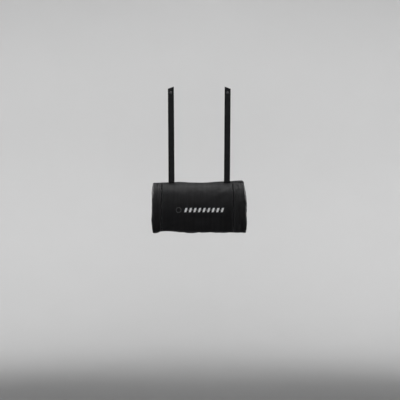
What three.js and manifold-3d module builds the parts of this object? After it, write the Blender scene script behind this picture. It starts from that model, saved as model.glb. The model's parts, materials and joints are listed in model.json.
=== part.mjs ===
// Lumbar support cushion: a D-section bolster with two webbing straps and a zipped cover.
// Millimetres, +Z up. The origin is the centre of the cushion's flat rear face, which lies
// against a chair back. The cushion reaches towards -Y (the sitter), and +X is the right-hand
// side as seen from the front.
import * as THREE from "three";
import { mergeVertices } from "three/addons/utils/BufferGeometryUtils.js";
import Module from "manifold-3d";

const wasm = await Module();
wasm.setup();

// ---------------------------------------------------------------- driving dimensions
// cushion body
const CUSHION_WIDTH = 310;
const CUSHION_HEIGHT = 166;
const CUSHION_DEPTH = 92;
const REAR_CORNER = 20; // rounding between the flat back and the top and bottom
const END_CORNER = 10; // rounding of each end's rim
const CLEARANCE = 0.3; // between pieces that touch on the real cushion
const SEAM_GAP = 0.4; // between two panels that are sewn edge to edge

// cover
const COVER = 1.2; // thickness of every cover panel
const TOP_SEAM_AHEAD = 20; // how far in front of the crest the top and bottom seams run
const LEFT_STRIP = 32; // width of the textured strip at each end of the front
const RIGHT_STRIP = 42;
const THREAD = 0.6; // topstitch thread
const TOPSTITCH_OFFSET = 3; // from the seam

// embroidery on the front
const EMBROIDERY = 0.5; // thickness
const MOTIF_X = 16; // middle of the row of bars
const MOTIF_Z = -10;
const MOTIF_LENGTH = 130;
const MOTIF_HEIGHT = 13;
const MOTIF_BARS = 9;
const BAR_WIDTH = 7;
const BAR_SLANT = 4; // how far a bar's top is ahead of its foot
const JOINING_THREAD = 0.8;
const EMBLEM_X = -67;
const EMBLEM_OUTER = 9.5; // radii of the ring
const EMBLEM_INNER = 6.5;

// filling
const LINER = 0.6;
const LINER_MOUTH_LENGTH = 200;
const LINER_MOUTH_HEIGHT = 5;

// zip, which runs along X in the flat back
const ZIP_FROM_END = 21; // from the cushion's end to the opening that shows the chain
const CHAIN_END_ROOM = 2.7; // from that opening's end to a stop
const SLIDER_ROOM = 0.6; // above and below the slider, in the opening
const TAPE_TO_CORNER = 2.5; // from the lower tape to where the flat back ends
const TOOTH_PITCH = 3.2;
const TOOTH_WIDTH = 1.8;
const TOOTH_REACH = 1.7; // from the row's spine to the tooth's tip
const SPINE_HEIGHT = 0.8;
const TEETH_THICKNESS = 2.1;
const ROW_GAP = 1.4; // between the two rows' tips, where the slider's post runs
const TAPE = 0.7; // thickness
const TAPE_HEIGHT = 12;
const TAPE_OVERRUN = 6; // of the tape past the window at each end
const STOP_LENGTH = 2.5;
const SLIDER_LENGTH = 13;
const SLIDER_PLATE = 1.1;
const SLIDER_LIP = 0.7; // each plate's turned-in edge: width
const SLIDER_LIP_ROOM = 1.0; // from the teeth to the turned-in edge
const SLIDER_TO_LINER = 0.7;
const POST_LENGTH = 3;
const POST_WIDTH = 0.8;
const BAIL_LENGTH = 6.8;
const BAIL_WIDTH = 1.6;
const BAIL_WALL = 1.0;
const PULL_LENGTH = 24;
const PULL_WIDTH = 7;
const PULL_THICKNESS = 1.0;
const PULL_EYE_ROOM = 1.1; // beyond the bail's foot
const PULL_EYE_SIDE = 0.5; // on each side of the bail

// straps
const STRAP_WIDTH = 20;
const STRAP = 1.2; // thickness of the webbing
const STRAP_LENGTH = 318; // from the sewn root to the middle of the slanted tip
const STRAP_FROM_END = 63.5; // from the cushion's end to the strap's middle
const STRAP_SPLAY = 0.55; // degrees outward
const STRAP_TOP_Y = -5; // where the tips lie, close to the chair back
const TIP_SLOPE = 20; // degrees, the inner side higher
const TAIL_LENGTH = 18; // sewn in under the rear panel
const TAIL_ROOM = 0.2; // that the turning foot of the strap keeps to the tail's end
const BARTACK_LENGTH = 16;
const BARTACK_WIDTH = 2.5;
const BARTACK_BEHIND = 7; // from the seam
const BARTACK = 0.4; // thickness

// press stud on each strap
const STUD_FROM_TIP = 17;
const CAP_RADIUS = 5;
const CAP_DOME = 1.5;
const RIVET_RADIUS = 1.3;
const RIVET_FLARE = 1.9;
const SOCKET_FLOOR = 0.8;
const SOCKET_LIP = 0.4;
const SOCKET_WALL = 1.6;
const SOCKET_MOUTH = 2.3; // radius that the mating post enters
const GROOVE_DEPTH = 1.1; // of the spring's groove, outwards from the mouth
const SPRING_WIRE = 0.6;
const SPRING_ROOM = 0.2; // above and below the spring
const SPRING_SETBACK = 0.15; // of the spring behind the mouth

// ---------------------------------------------------------------- values worked out from them
const HALF_WIDTH = CUSHION_WIDTH / 2;
const HALF_HEIGHT = CUSHION_HEIGHT / 2;
const FLAT = HALF_HEIGHT - REAR_CORNER; // half height of the flat back
const FRONT_REACH = CUSHION_DEPTH - REAR_CORNER; // of the front half-ellipse
const LEFT_SEAM_X = -HALF_WIDTH + LEFT_STRIP;
const RIGHT_SEAM_X = HALF_WIDTH - RIGHT_STRIP;
const SEAM_Y = -REAR_CORNER - TOP_SEAM_AHEAD;
const UNDER_COVER = STRAP + 2 * CLEARANCE; // room under the cover for sewn-in straps
const ROOT_LIFT = STRAP / 2 + CLEARANCE; // of a strap's bending line above the seam
const TAIL_GAP = STRAP / 2 + TAIL_ROOM; // from the tail's end to the bending line
const STRAP_SPACING = CUSHION_WIDTH - 2 * STRAP_FROM_END;
const WINDOW_HALF = HALF_WIDTH - ZIP_FROM_END;
const CHAIN_HALF = WINDOW_HALF - CHAIN_END_ROOM - STOP_LENGTH - CLEARANCE;
const TEETH_TOP = -(COVER + CLEARANCE - (TEETH_THICKNESS - TAPE) / 2);
const TEETH_BOTTOM = TEETH_TOP - TEETH_THICKNESS;
const TAPE_TOP = -(COVER + CLEARANCE);
const ROW_HEIGHT = ROW_GAP / 2 + TOOTH_REACH + SPINE_HEIGHT; // from the chain's middle line
const TAPE_START = ROW_HEIGHT + CLEARANCE;
const ZIP_Z = -FLAT + TAPE_TO_CORNER + TAPE_HEIGHT + TAPE_START;
const SLIDER_X = CHAIN_HALF - SLIDER_LENGTH / 2;
const SLIDER_HEIGHT = 2 * (ROW_HEIGHT + SLIDER_LIP_ROOM + SLIDER_LIP);
const WINDOW_HEIGHT = SLIDER_HEIGHT + 2 * SLIDER_ROOM;
const OUTER_PLATE_BOTTOM = TEETH_TOP + CLEARANCE;
const OUTER_PLATE_TOP = OUTER_PLATE_BOTTOM + SLIDER_PLATE;
const INNER_PLATE_TOP = TEETH_BOTTOM - CLEARANCE;
const INNER_PLATE_BOTTOM = INNER_PLATE_TOP - SLIDER_PLATE;
const UNDER_REAR = SLIDER_TO_LINER - INNER_PLATE_BOTTOM - COVER; // room for the zip's inner half
const BAR_REACH = (PULL_THICKNESS / 2) * Math.SQRT2; // corner of the tab's cross bar
const PULL_Y = OUTER_PLATE_TOP + BAR_REACH + CLEARANCE;
const BAIL_TOP = PULL_Y + BAR_REACH + CLEARANCE + BAIL_WALL;
const PULL_EYE_LENGTH = BAIL_LENGTH / 2 + PULL_EYE_ROOM - PULL_THICKNESS / 2;
const PULL_EYE_WIDTH = BAIL_WIDTH + 2 * PULL_EYE_SIDE;
const SOCKET_GROOVE = SOCKET_MOUTH + GROOVE_DEPTH;
const SOCKET_RADIUS = SOCKET_GROOVE + SOCKET_WALL;
const SOCKET_HEIGHT = SOCKET_FLOOR + SPRING_WIRE + 2 * SPRING_ROOM + SOCKET_LIP;
const STRAP_LEAN = Math.asin((STRAP_TOP_Y - SEAM_Y) / STRAP_LENGTH);

const leather = (color, roughness) => ({ color, roughness, metalness: 0 });
const SMOOTH_LEATHER = leather(0x1c1c1e, 0.45);
const TEXTURED_LEATHER = leather(0x1a1a1c, 0.6);
const REAR_CLOTH = leather(0x121213, 0.9);
const WEBBING = leather(0x18181a, 0.85);
const BLACK_THREAD = leather(0x0e0e0f, 0.7);
const WHITE_THREAD = leather(0xe6e6e6, 0.6);
const DARK_THREAD = leather(0x242426, 0.6);
const FOAM = leather(0xd9d3c0, 0.95);
const NONWOVEN = leather(0xe8e8e6, 0.9);
const ZIP_TAPE = leather(0x141415, 0.85);
const ZIP_PLASTIC = leather(0x1b1b1d, 0.4);
const BLACK_METAL = { color: 0x1a1a1c, roughness: 0.35, metalness: 0.8 };
const SPRING_STEEL = { color: 0xb8b8b8, roughness: 0.3, metalness: 1 };

const part = new THREE.Group();

function add(name, geometry, look, parent = part) {
  const mesh = new THREE.Mesh(geometry, new THREE.MeshStandardMaterial(look));
  mesh.name = name;
  parent.add(mesh);
  return mesh;
}

// ---------------------------------------------------------------- joining and cutting
function solidOf(geometry) {
  const bare = geometry.clone();
  bare.deleteAttribute("normal");
  bare.deleteAttribute("uv");
  const merged = mergeVertices(bare, 1e-4);
  return new wasm.Manifold(
    new wasm.Mesh({
      numProp: 3,
      vertProperties: merged.attributes.position.array,
      triVerts: new Uint32Array(merged.index.array),
    }),
  );
}

function geometryOf(solid) {
  const mesh = solid.getMesh();
  const geometry = new THREE.BufferGeometry();
  const positions = new THREE.BufferAttribute(new Float32Array(mesh.vertProperties), 3);
  geometry.setAttribute("position", positions);
  geometry.setIndex(new THREE.BufferAttribute(new Uint32Array(mesh.triVerts), 1));
  geometry.computeVertexNormals();
  return geometry;
}

function joined(...geometries) {
  const solids = geometries.map(solidOf);
  return geometryOf(solids.reduce((whole, next) => whole.add(next)));
}

function cut(geometry, ...tools) {
  return geometryOf(tools.reduce((rest, tool) => rest.subtract(solidOf(tool)), solidOf(geometry)));
}

// A box from its lowest to its highest corner.
function box([x0, y0, z0], [x1, y1, z1]) {
  const geometry = new THREE.BoxGeometry(x1 - x0, y1 - y0, z1 - z0);
  return geometry.translate((x0 + x1) / 2, (y0 + y1) / 2, (z0 + z1) / 2);
}

// A flat outline in X and Z, standing from y0 to y1.
function plate(outline, y0, y1, curveSegments = 12) {
  const depth = y1 - y0;
  const geometry = new THREE.ExtrudeGeometry(outline, { depth, bevelEnabled: false, curveSegments });
  return geometry.rotateX(Math.PI / 2).translate(0, y1, 0);
}

// ---------------------------------------------------------------- the D section
// The section is a closed line with the parameter u: -1 to 1 up the flat back, 1 to 2 round the
// upper rear corner, 2 to 4 down the front half-ellipse, 4 to 5 round the lower rear corner.
// inset moves it inwards at the top, bottom and front, and rear moves the back inwards.
function sectionPoint(u, { inset, rear }) {
  const turn = (u % 1) * (Math.PI / 2);
  if (u > 5) return { y: -rear, z: (u - 6) * FLAT };
  if (u <= 1) return { y: -rear, z: u * FLAT };
  const corner = [REAR_CORNER - rear, REAR_CORNER - inset];
  if (u < 2) {
    return {
      y: -REAR_CORNER + corner[0] * Math.cos(turn),
      z: FLAT + corner[1] * Math.sin(turn),
    };
  }
  if (u <= 4) {
    const angle = (u - 2) * (Math.PI / 2);
    return {
      y: -REAR_CORNER - (FRONT_REACH - inset) * Math.sin(angle),
      z: (HALF_HEIGHT - inset) * Math.cos(angle),
    };
  }
  const down = (u - 4) * (Math.PI / 2);
  return {
    y: -REAR_CORNER + corner[0] * Math.sin(down),
    z: -FLAT - corner[1] * Math.cos(down),
  };
}

// Where the front half-ellipse is at a distance ahead of the crest, along the top.
const topU = (ahead) => 2 + Math.asin(ahead / FRONT_REACH) / (Math.PI / 2);
const bottomU = (ahead) => 6 - topU(ahead);
const frontY = (z, inset) =>
  sectionPoint(2 + Math.acos(z / (HALF_HEIGHT - inset)) / (Math.PI / 2), { inset, rear: 0 }).y;
const backU = (z) => z / FLAT;

// Steps of u between two values, with a stop where a flat or a corner starts or ends. The front
// curve takes the step given, the small rear corners take a coarser one and the flat back none.
function steps(from, to, frontStep = 0.09) {
  const stops = [1, 2, 4, 5].filter((u) => u > from && u < to);
  const list = [from];
  for (const next of [...stops, to]) {
    const start = list[list.length - 1];
    const flat = next <= 1 || start >= 5;
    const front = start >= 2 && next <= 4;
    const step = front ? frontStep : 2 * frontStep;
    const count = flat ? 1 : Math.ceil((next - start) / step);
    for (let i = 1; i <= count; i++) list.push(start + ((next - start) * i) / count);
  }
  return list;
}

// How a layer runs along X: its rim curls in round the end corners, where it reaches them.
// layer gives the inset of its surface at the end, round the section and at the rear.
function stations(layer, leftX, rightX, curlSteps = 4) {
  const list = [];
  const straight = HALF_WIDTH - END_CORNER;
  const curl = (turn, side) =>
    list.push({
      x: side * (straight + (END_CORNER - layer.end) * Math.sin(turn)),
      inset: END_CORNER - (END_CORNER - layer.inset) * Math.cos(turn),
      rear: END_CORNER - (END_CORNER - layer.rear) * Math.cos(turn),
    });
  const turns = Array.from({ length: curlSteps + 1 }, (_, i) => (i * Math.PI) / 2 / curlSteps);
  if (leftX === null) turns.toReversed().forEach((turn) => curl(turn, -1));
  else list.push({ x: leftX, inset: layer.inset, rear: layer.rear });
  if (rightX === null) turns.forEach((turn) => curl(turn, 1));
  else list.push({ x: rightX, inset: layer.inset, rear: layer.rear });
  return list;
}

const depthLayer = (depth) => ({ end: depth, inset: depth, rear: depth });
const LINER_OUTSIDE = {
  end: COVER + CLEARANCE,
  inset: COVER + UNDER_COVER,
  rear: COVER + UNDER_REAR,
};
const deeper = (layer, by) => ({
  end: layer.end + by,
  inset: layer.inset + by,
  rear: layer.rear + by,
});

function gridOf(us, rows) {
  return us.map((u) =>
    rows.map((row) => {
      const { y, z } = sectionPoint(u, row);
      return [row.x, y, z];
    }),
  );
}

// A closed mesh from quads given by corner points, turned to face outwards.
function closedMesh(quads) {
  const positions = quads.flatMap(([a, b, c, d]) => [...a, ...b, ...c, ...a, ...c, ...d]);
  const geometry = new THREE.BufferGeometry();
  geometry.setAttribute("position", new THREE.Float32BufferAttribute(positions, 3));
  const merged = mergeVertices(geometry, 1e-5);
  const kept = [];
  for (let i = 0; i < merged.index.count; i += 3) {
    const [a, b, c] = [0, 1, 2].map((k) => merged.index.getX(i + k));
    if (a !== b && b !== c && a !== c) kept.push(a, b, c);
  }
  merged.setIndex(kept);
  merged.computeVertexNormals();
  return merged;
}

// A shell between two grids of the same size: the outer skin, the inner skin and the four edges.
function shell(outer, inner) {
  const quads = [];
  const last = outer.length - 1;
  const end = outer[0].length - 1;
  for (let i = 0; i < last; i++) {
    for (let j = 0; j < end; j++) {
      quads.push([outer[i][j], outer[i + 1][j], outer[i + 1][j + 1], outer[i][j + 1]]);
      quads.push([inner[i][j], inner[i][j + 1], inner[i + 1][j + 1], inner[i + 1][j]]);
    }
    quads.push([outer[i][0], inner[i][0], inner[i + 1][0], outer[i + 1][0]]);
    quads.push([outer[i][end], outer[i + 1][end], inner[i + 1][end], inner[i][end]]);
  }
  for (let j = 0; j < end; j++) {
    quads.push([outer[0][j], outer[0][j + 1], inner[0][j + 1], inner[0][j]]);
    quads.push([outer[last][j], inner[last][j], inner[last][j + 1], outer[last][j + 1]]);
  }
  return closedMesh(quads);
}

// A band of the cover between two depths, from u0 to u1. null for an X means round the end corner.
function band(u0, u1, leftX, rightX, outside = depthLayer(0), thickness = COVER) {
  const us = steps(u0, u1);
  const inside = deeper(outside, thickness);
  return shell(
    gridOf(us, stations(outside, leftX, rightX)),
    gridOf(us, stations(inside, leftX, rightX)),
  );
}

// A full solid of the D section along the given rows, closed by a fan at each end.
function loft(rows, frontStep) {
  const us = steps(-1, 5, frontStep);
  const grid = gridOf(us, rows);
  const quads = [];
  const end = rows.length - 1;
  const middle = (j) => [rows[j].x, -CUSHION_DEPTH / 2, 0];
  for (let i = 0; i < us.length - 1; i++) {
    for (let j = 0; j < end; j++) {
      quads.push([grid[i][j], grid[i + 1][j], grid[i + 1][j + 1], grid[i][j + 1]]);
    }
    quads.push([grid[i][0], middle(0), middle(0), grid[i + 1][0]]);
    quads.push([grid[i][end], grid[i + 1][end], middle(end), middle(end)]);
  }
  return closedMesh(quads);
}

// ---------------------------------------------------------------- filling
const FILLING_STEP = 0.15;
const FILLING_CURL = 3;
const wholeCushion = (layer) => loft(stations(layer, null, null, FILLING_CURL), FILLING_STEP);

function innerLiner() {
  const mouth = box(
    [-LINER_MOUTH_LENGTH / 2, -CUSHION_DEPTH / 2, ZIP_Z - LINER_MOUTH_HEIGHT / 2],
    [LINER_MOUTH_LENGTH / 2, CLEARANCE, ZIP_Z + LINER_MOUTH_HEIGHT / 2],
  );
  return cut(wholeCushion(LINER_OUTSIDE), wholeCushion(deeper(LINER_OUTSIDE, LINER)), mouth);
}

add("foam_core", wholeCushion(deeper(LINER_OUTSIDE, LINER + CLEARANCE)), FOAM);
add("inner_liner", innerLiner(), NONWOVEN);

// ---------------------------------------------------------------- straps: where they leave the cover
const SEAM_Z = sectionPoint(topU(TOP_SEAM_AHEAD), { inset: 0, rear: 0 }).z;
const strapRoot = (side) => new THREE.Vector3((side * STRAP_SPACING) / 2, SEAM_Y, SEAM_Z);

// Turns a geometry that stands on the strap's root line up to the strap's place and slant.
function placeOnStrap(geometry, side) {
  const turn = new THREE.Euler(-STRAP_LEAN, THREE.MathUtils.degToRad(side * STRAP_SPLAY), 0);
  const matrix = new THREE.Matrix4().makeRotationFromEuler(turn).setPosition(strapRoot(side));
  return geometry.applyMatrix4(matrix);
}

// The slot in the seam that a strap passes through.
function strapSlot(side) {
  const halfWidth = STRAP_WIDTH / 2 + CLEARANCE;
  const halfDepth = STRAP / 2 + CLEARANCE;
  const slot = box([-halfWidth, -halfDepth, -4 * COVER], [halfWidth, halfDepth, 4 * COVER]);
  return placeOnStrap(slot, side);
}

const strapSlots = () => [strapSlot(-1), strapSlot(1)];

// The sewn-in end: flat under the rear panel, then up through the slot.
function strapTail(side) {
  const layer = depthLayer(COVER + CLEARANCE);
  const middle = (side * STRAP_SPACING) / 2;
  const sewn = band(
    topU(TOP_SEAM_AHEAD - TAIL_LENGTH),
    topU(TOP_SEAM_AHEAD),
    middle - STRAP_WIDTH / 2,
    middle + STRAP_WIDTH / 2,
    layer,
    STRAP,
  );
  const upright = box(
    [-STRAP_WIDTH / 2, -STRAP / 2, -COVER - CLEARANCE - STRAP / 2],
    [STRAP_WIDTH / 2, STRAP / 2, ROOT_LIFT - TAIL_GAP],
  );
  return joined(sewn, placeOnStrap(upright, side));
}

function bartack(side) {
  const middle = (side * STRAP_SPACING) / 2;
  return band(
    topU(TOP_SEAM_AHEAD - BARTACK_BEHIND - BARTACK_WIDTH),
    topU(TOP_SEAM_AHEAD - BARTACK_BEHIND),
    middle - BARTACK_LENGTH / 2,
    middle + BARTACK_LENGTH / 2,
    depthLayer(-CLEARANCE - BARTACK),
    BARTACK,
  );
}

// ---------------------------------------------------------------- cover
const frontEdges = [
  topU(TOP_SEAM_AHEAD + SEAM_GAP / 2),
  bottomU(TOP_SEAM_AHEAD + SEAM_GAP / 2),
];
const rearTopEdge = topU(TOP_SEAM_AHEAD - SEAM_GAP / 2);
const rearBottomEdge = bottomU(TOP_SEAM_AHEAD - SEAM_GAP / 2);

function frontPanel(leftX, rightX) {
  return cut(band(...frontEdges, leftX, rightX), ...strapSlots());
}

function endPanel(side) {
  const rim = { inset: END_CORNER + SEAM_GAP, rear: END_CORNER + SEAM_GAP };
  const rows = [HALF_WIDTH - COVER, HALF_WIDTH].map((x) => ({ x: side * x, ...rim }));
  return loft(side > 0 ? rows : rows.toReversed());
}

const zipWindow = () =>
  box(
    [-WINDOW_HALF, -2 * COVER, ZIP_Z - WINDOW_HEIGHT / 2],
    [WINDOW_HALF, COVER, ZIP_Z + WINDOW_HEIGHT / 2],
  );

add(
  "front_panel_center",
  frontPanel(LEFT_SEAM_X + SEAM_GAP / 2, RIGHT_SEAM_X - SEAM_GAP / 2),
  SMOOTH_LEATHER,
);
add("front_panel_left", frontPanel(null, LEFT_SEAM_X - SEAM_GAP / 2), TEXTURED_LEATHER);
add("front_panel_right", frontPanel(RIGHT_SEAM_X + SEAM_GAP / 2, null), TEXTURED_LEATHER);
add("end_panel_left", endPanel(-1), TEXTURED_LEATHER);
add("end_panel_right", endPanel(1), TEXTURED_LEATHER);
add(
  "rear_panel_upper",
  cut(band(backU(ZIP_Z + SEAM_GAP / 2), rearTopEdge, null, null), zipWindow(), ...strapSlots()),
  REAR_CLOTH,
);
add(
  "rear_panel_lower",
  cut(band(rearBottomEdge, 6 + backU(ZIP_Z - SEAM_GAP / 2), null, null), zipWindow()),
  REAR_CLOTH,
);

// ---------------------------------------------------------------- stitching and embroidery
// The line of thread beside a vertical seam, lying on the front panel.
function topstitch(x) {
  const lift = { inset: -CLEARANCE - THREAD / 2, rear: 0 };
  const points = steps(...frontEdges, 0.1).map((u) => {
    const { y, z } = sectionPoint(u, lift);
    return new THREE.Vector3(x, y, z);
  });
  const section = new THREE.Shape().absarc(0, 0, THREAD / 2, 0, 2 * Math.PI);
  return new THREE.ExtrudeGeometry(section, {
    steps: 40,
    curveSegments: 3,
    extrudePath: new THREE.CatmullRomCurve3(points),
  });
}

add("topstitch_left", topstitch(LEFT_SEAM_X + TOPSTITCH_OFFSET), BLACK_THREAD);
add("topstitch_right", topstitch(RIGHT_SEAM_X - TOPSTITCH_OFFSET), BLACK_THREAD);

// Lays a flat outline in X and Z on the curved front, as embroidery.
function onFront(outline, curveSegments) {
  const geometry = plate(outline, 0, EMBROIDERY, curveSegments);
  const positions = geometry.attributes.position;
  for (let i = 0; i < positions.count; i++) {
    const lift = CLEARANCE + EMBROIDERY - positions.getY(i);
    positions.setY(i, frontY(positions.getZ(i), -lift));
  }
  geometry.computeVertexNormals();
  return geometry;
}

// One slanted bar, as rows of points from its foot to its top so that it follows the curve.
function motifBar(middleX) {
  const outline = new THREE.Shape();
  const rows = [0, 0.25, 0.5, 0.75, 1];
  const left = (t) => [
    middleX - BAR_WIDTH / 2 + (t - 0.5) * BAR_SLANT,
    MOTIF_Z + (t - 0.5) * MOTIF_HEIGHT,
  ];
  const right = (t) => [left(t)[0] + BAR_WIDTH, left(t)[1]];
  const points = [...rows.map(right), ...rows.toReversed().map(left)];
  outline.setFromPoints(points.map(([x, z]) => new THREE.Vector2(x, z)));
  return onFront(outline);
}

function stitchedMotif() {
  const reach = MOTIF_LENGTH - BAR_WIDTH - BAR_SLANT;
  const firstX = MOTIF_X - reach / 2;
  const bars = [];
  for (let i = 0; i < MOTIF_BARS; i++) {
    bars.push(motifBar(firstX + (reach * i) / (MOTIF_BARS - 1)));
  }
  const thread = new THREE.Shape();
  const low = MOTIF_Z - JOINING_THREAD / 2;
  thread.moveTo(firstX, low).lineTo(firstX + reach, low);
  thread.lineTo(firstX + reach, low + JOINING_THREAD).lineTo(firstX, low + JOINING_THREAD);
  return joined(onFront(thread), ...bars);
}

function stitchedEmblem() {
  const ring = new THREE.Shape().absarc(EMBLEM_X, MOTIF_Z, EMBLEM_OUTER, 0, 2 * Math.PI);
  ring.holes.push(new THREE.Path().absarc(EMBLEM_X, MOTIF_Z, EMBLEM_INNER, 0, 2 * Math.PI, true));
  return onFront(ring, 20);
}

add("stitched_motif", stitchedMotif(), WHITE_THREAD);
add("stitched_emblem", stitchedEmblem(), DARK_THREAD);

// ---------------------------------------------------------------- zip: tapes, teeth and stops
// side is 1 for the upper half of the zip and -1 for the lower half.
const zipZ = (side, height) => ZIP_Z + side * height;

function zipTape(side) {
  const halfLength = WINDOW_HALF + TAPE_OVERRUN;
  const heights = [zipZ(side, TAPE_START), zipZ(side, TAPE_START + TAPE_HEIGHT)].sort((a, b) => a - b);
  return box([-halfLength, TAPE_TOP - TAPE, heights[0]], [halfLength, TAPE_TOP, heights[1]]);
}

// A row of teeth on its spine, cut as one comb-shaped outline.
function zipTeeth(side) {
  const half = CHAIN_HALF;
  const spine = ROW_GAP / 2 + TOOTH_REACH;
  const points = [[-half, ROW_HEIGHT], [-half, spine]];
  const count = Math.floor((2 * CHAIN_HALF - TOOTH_WIDTH) / TOOTH_PITCH);
  const first = (-count * TOOTH_PITCH) / 2;
  for (let i = 0; i <= count; i++) {
    const x = first + i * TOOTH_PITCH;
    points.push([x - TOOTH_WIDTH / 2, spine], [x - TOOTH_WIDTH / 2, ROW_GAP / 2]);
    points.push([x + TOOTH_WIDTH / 2, ROW_GAP / 2], [x + TOOTH_WIDTH / 2, spine]);
  }
  points.push([half, spine], [half, ROW_HEIGHT]);
  const outline = new THREE.Shape(points.map(([x, z]) => new THREE.Vector2(x, zipZ(side, z))));
  return plate(outline, TEETH_BOTTOM, TEETH_TOP);
}

function zipStop(side) {
  const near = CHAIN_HALF + CLEARANCE;
  const ends = [side * near, side * (near + STOP_LENGTH)].sort((a, b) => a - b);
  return box(
    [ends[0], TEETH_BOTTOM, ZIP_Z - ROW_HEIGHT],
    [ends[1], TEETH_TOP, ZIP_Z + ROW_HEIGHT],
  );
}

add("zip_tape_upper", zipTape(1), ZIP_TAPE);
add("zip_tape_lower", zipTape(-1), ZIP_TAPE);
add("zip_teeth_upper", zipTeeth(1), ZIP_PLASTIC);
add("zip_teeth_lower", zipTeeth(-1), ZIP_PLASTIC);
add("zip_top_stop", zipStop(1), BLACK_METAL);
add("zip_bottom_stop", zipStop(-1), BLACK_METAL);

// ---------------------------------------------------------------- zip: slider and pull tab
// Both are drawn round the slider's own middle, at x = 0 and z = 0.
const slider = new THREE.Group();
slider.position.set(SLIDER_X, 0, ZIP_Z);
part.add(slider);

function sliderBody() {
  const halfLength = SLIDER_LENGTH / 2;
  const halfHeight = SLIDER_HEIGHT / 2;
  const pieces = [
    box([-halfLength, OUTER_PLATE_BOTTOM, -halfHeight], [halfLength, OUTER_PLATE_TOP, halfHeight]),
    box(
      [-halfLength, INNER_PLATE_BOTTOM, -halfHeight],
      [halfLength, INNER_PLATE_TOP, halfHeight],
    ),
    box(
      [halfLength - POST_LENGTH - 1, INNER_PLATE_TOP - SLIDER_PLATE / 2, -POST_WIDTH / 2],
      [halfLength - 1, OUTER_PLATE_BOTTOM + SLIDER_PLATE / 2, POST_WIDTH / 2],
    ),
  ];
  for (const side of [-1, 1]) {
    const edge = [side * halfHeight, side * (halfHeight - SLIDER_LIP)].sort((a, b) => a - b);
    pieces.push(
      box([-halfLength, TAPE_TOP + CLEARANCE, edge[0]], [halfLength, OUTER_PLATE_TOP, edge[1]]),
      box(
        [-halfLength, INNER_PLATE_BOTTOM, edge[0]],
        [halfLength, TAPE_TOP - TAPE - CLEARANCE, edge[1]],
      ),
    );
  }
  return joined(...pieces, sliderBail());
}

// The arch that the pull tab hangs on, seen along Z.
function sliderBail() {
  const half = BAIL_LENGTH / 2;
  const foot = OUTER_PLATE_TOP - SLIDER_PLATE / 2;
  const arch = new THREE.Shape();
  arch.moveTo(-half, foot).lineTo(-half + BAIL_WALL, foot);
  arch.lineTo(-half + BAIL_WALL, BAIL_TOP - BAIL_WALL).lineTo(half - BAIL_WALL, BAIL_TOP - BAIL_WALL);
  arch.lineTo(half - BAIL_WALL, foot).lineTo(half, foot);
  arch.lineTo(half, BAIL_TOP - BAIL_WALL).lineTo(half - BAIL_WALL, BAIL_TOP);
  arch.lineTo(-half + BAIL_WALL, BAIL_TOP).lineTo(-half, BAIL_TOP - BAIL_WALL);
  const geometry = new THREE.ExtrudeGeometry(arch, { depth: BAIL_WIDTH, bevelEnabled: false });
  return geometry.translate(0, 0, -BAIL_WIDTH / 2);
}

// The tab lies flat along -X from the bail, with an eye round it.
function pullTab() {
  const half = PULL_WIDTH / 2;
  const bar = PULL_THICKNESS / 2;
  const taper = 0.8 * half; // half width at the tip's start
  const tipStart = PULL_LENGTH - half;
  const outline = new THREE.Shape();
  outline.moveTo(bar, -taper).lineTo(bar, taper).lineTo(-PULL_EYE_LENGTH, half);
  outline.lineTo(-tipStart, taper).quadraticCurveTo(-PULL_LENGTH, taper, -PULL_LENGTH, 0);
  outline.quadraticCurveTo(-PULL_LENGTH, -taper, -tipStart, -taper);
  outline.lineTo(-PULL_EYE_LENGTH, -half);
  const eye = new THREE.Path();
  const eyeHalf = PULL_EYE_WIDTH / 2;
  eye.moveTo(-bar, -eyeHalf).lineTo(-bar - PULL_EYE_LENGTH, -eyeHalf);
  eye.lineTo(-bar - PULL_EYE_LENGTH, eyeHalf).lineTo(-bar, eyeHalf);
  outline.holes.push(eye);
  return plate(outline, PULL_Y - bar, PULL_Y + bar, 6);
}

add("zip_slider", sliderBody(), BLACK_METAL, slider);
add("zip_pull_tab", pullTab(), BLACK_METAL, slider);

// ---------------------------------------------------------------- straps
// A strap is drawn in its own frame: the bending line of its root at z = 0, up along +Z, the
// front of the webbing facing -Y.
function webbing(side) {
  const half = STRAP_WIDTH / 2;
  const rise = half * Math.tan(THREE.MathUtils.degToRad(TIP_SLOPE));
  const outline = new THREE.Shape();
  outline.moveTo(-half, 0).lineTo(half, 0);
  outline.lineTo(half, STRAP_LENGTH - side * rise).lineTo(-half, STRAP_LENGTH + side * rise);
  const hole = new THREE.Path();
  hole.absarc(0, STRAP_LENGTH - STUD_FROM_TIP, RIVET_RADIUS + CLEARANCE, 0, 2 * Math.PI, true);
  outline.holes.push(hole);
  return plate(outline, -STRAP / 2, STRAP / 2, 8);
}

// Turned profiles of the press stud, given as [radius, distance behind the webbing's middle].
function turned(profile) {
  const points = profile.map(([radius, y]) => new THREE.Vector2(radius, y));
  return new THREE.LatheGeometry(points, 16);
}

function studCap() {
  const face = -STRAP / 2 - CLEARANCE;
  const rivetEnd = STRAP / 2 + CLEARANCE + SOCKET_FLOOR + CLEARANCE;
  return turned([
    [0, face - CAP_DOME],
    [CAP_RADIUS * 0.6, face - CAP_DOME * 0.8],
    [CAP_RADIUS * 0.92, face - CAP_DOME * 0.35],
    [CAP_RADIUS, face],
    [RIVET_RADIUS, face],
    [RIVET_RADIUS, rivetEnd],
    [RIVET_FLARE, rivetEnd],
    [RIVET_FLARE * 0.8, rivetEnd + 0.4],
    [0, rivetEnd + 0.4],
  ]);
}

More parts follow.
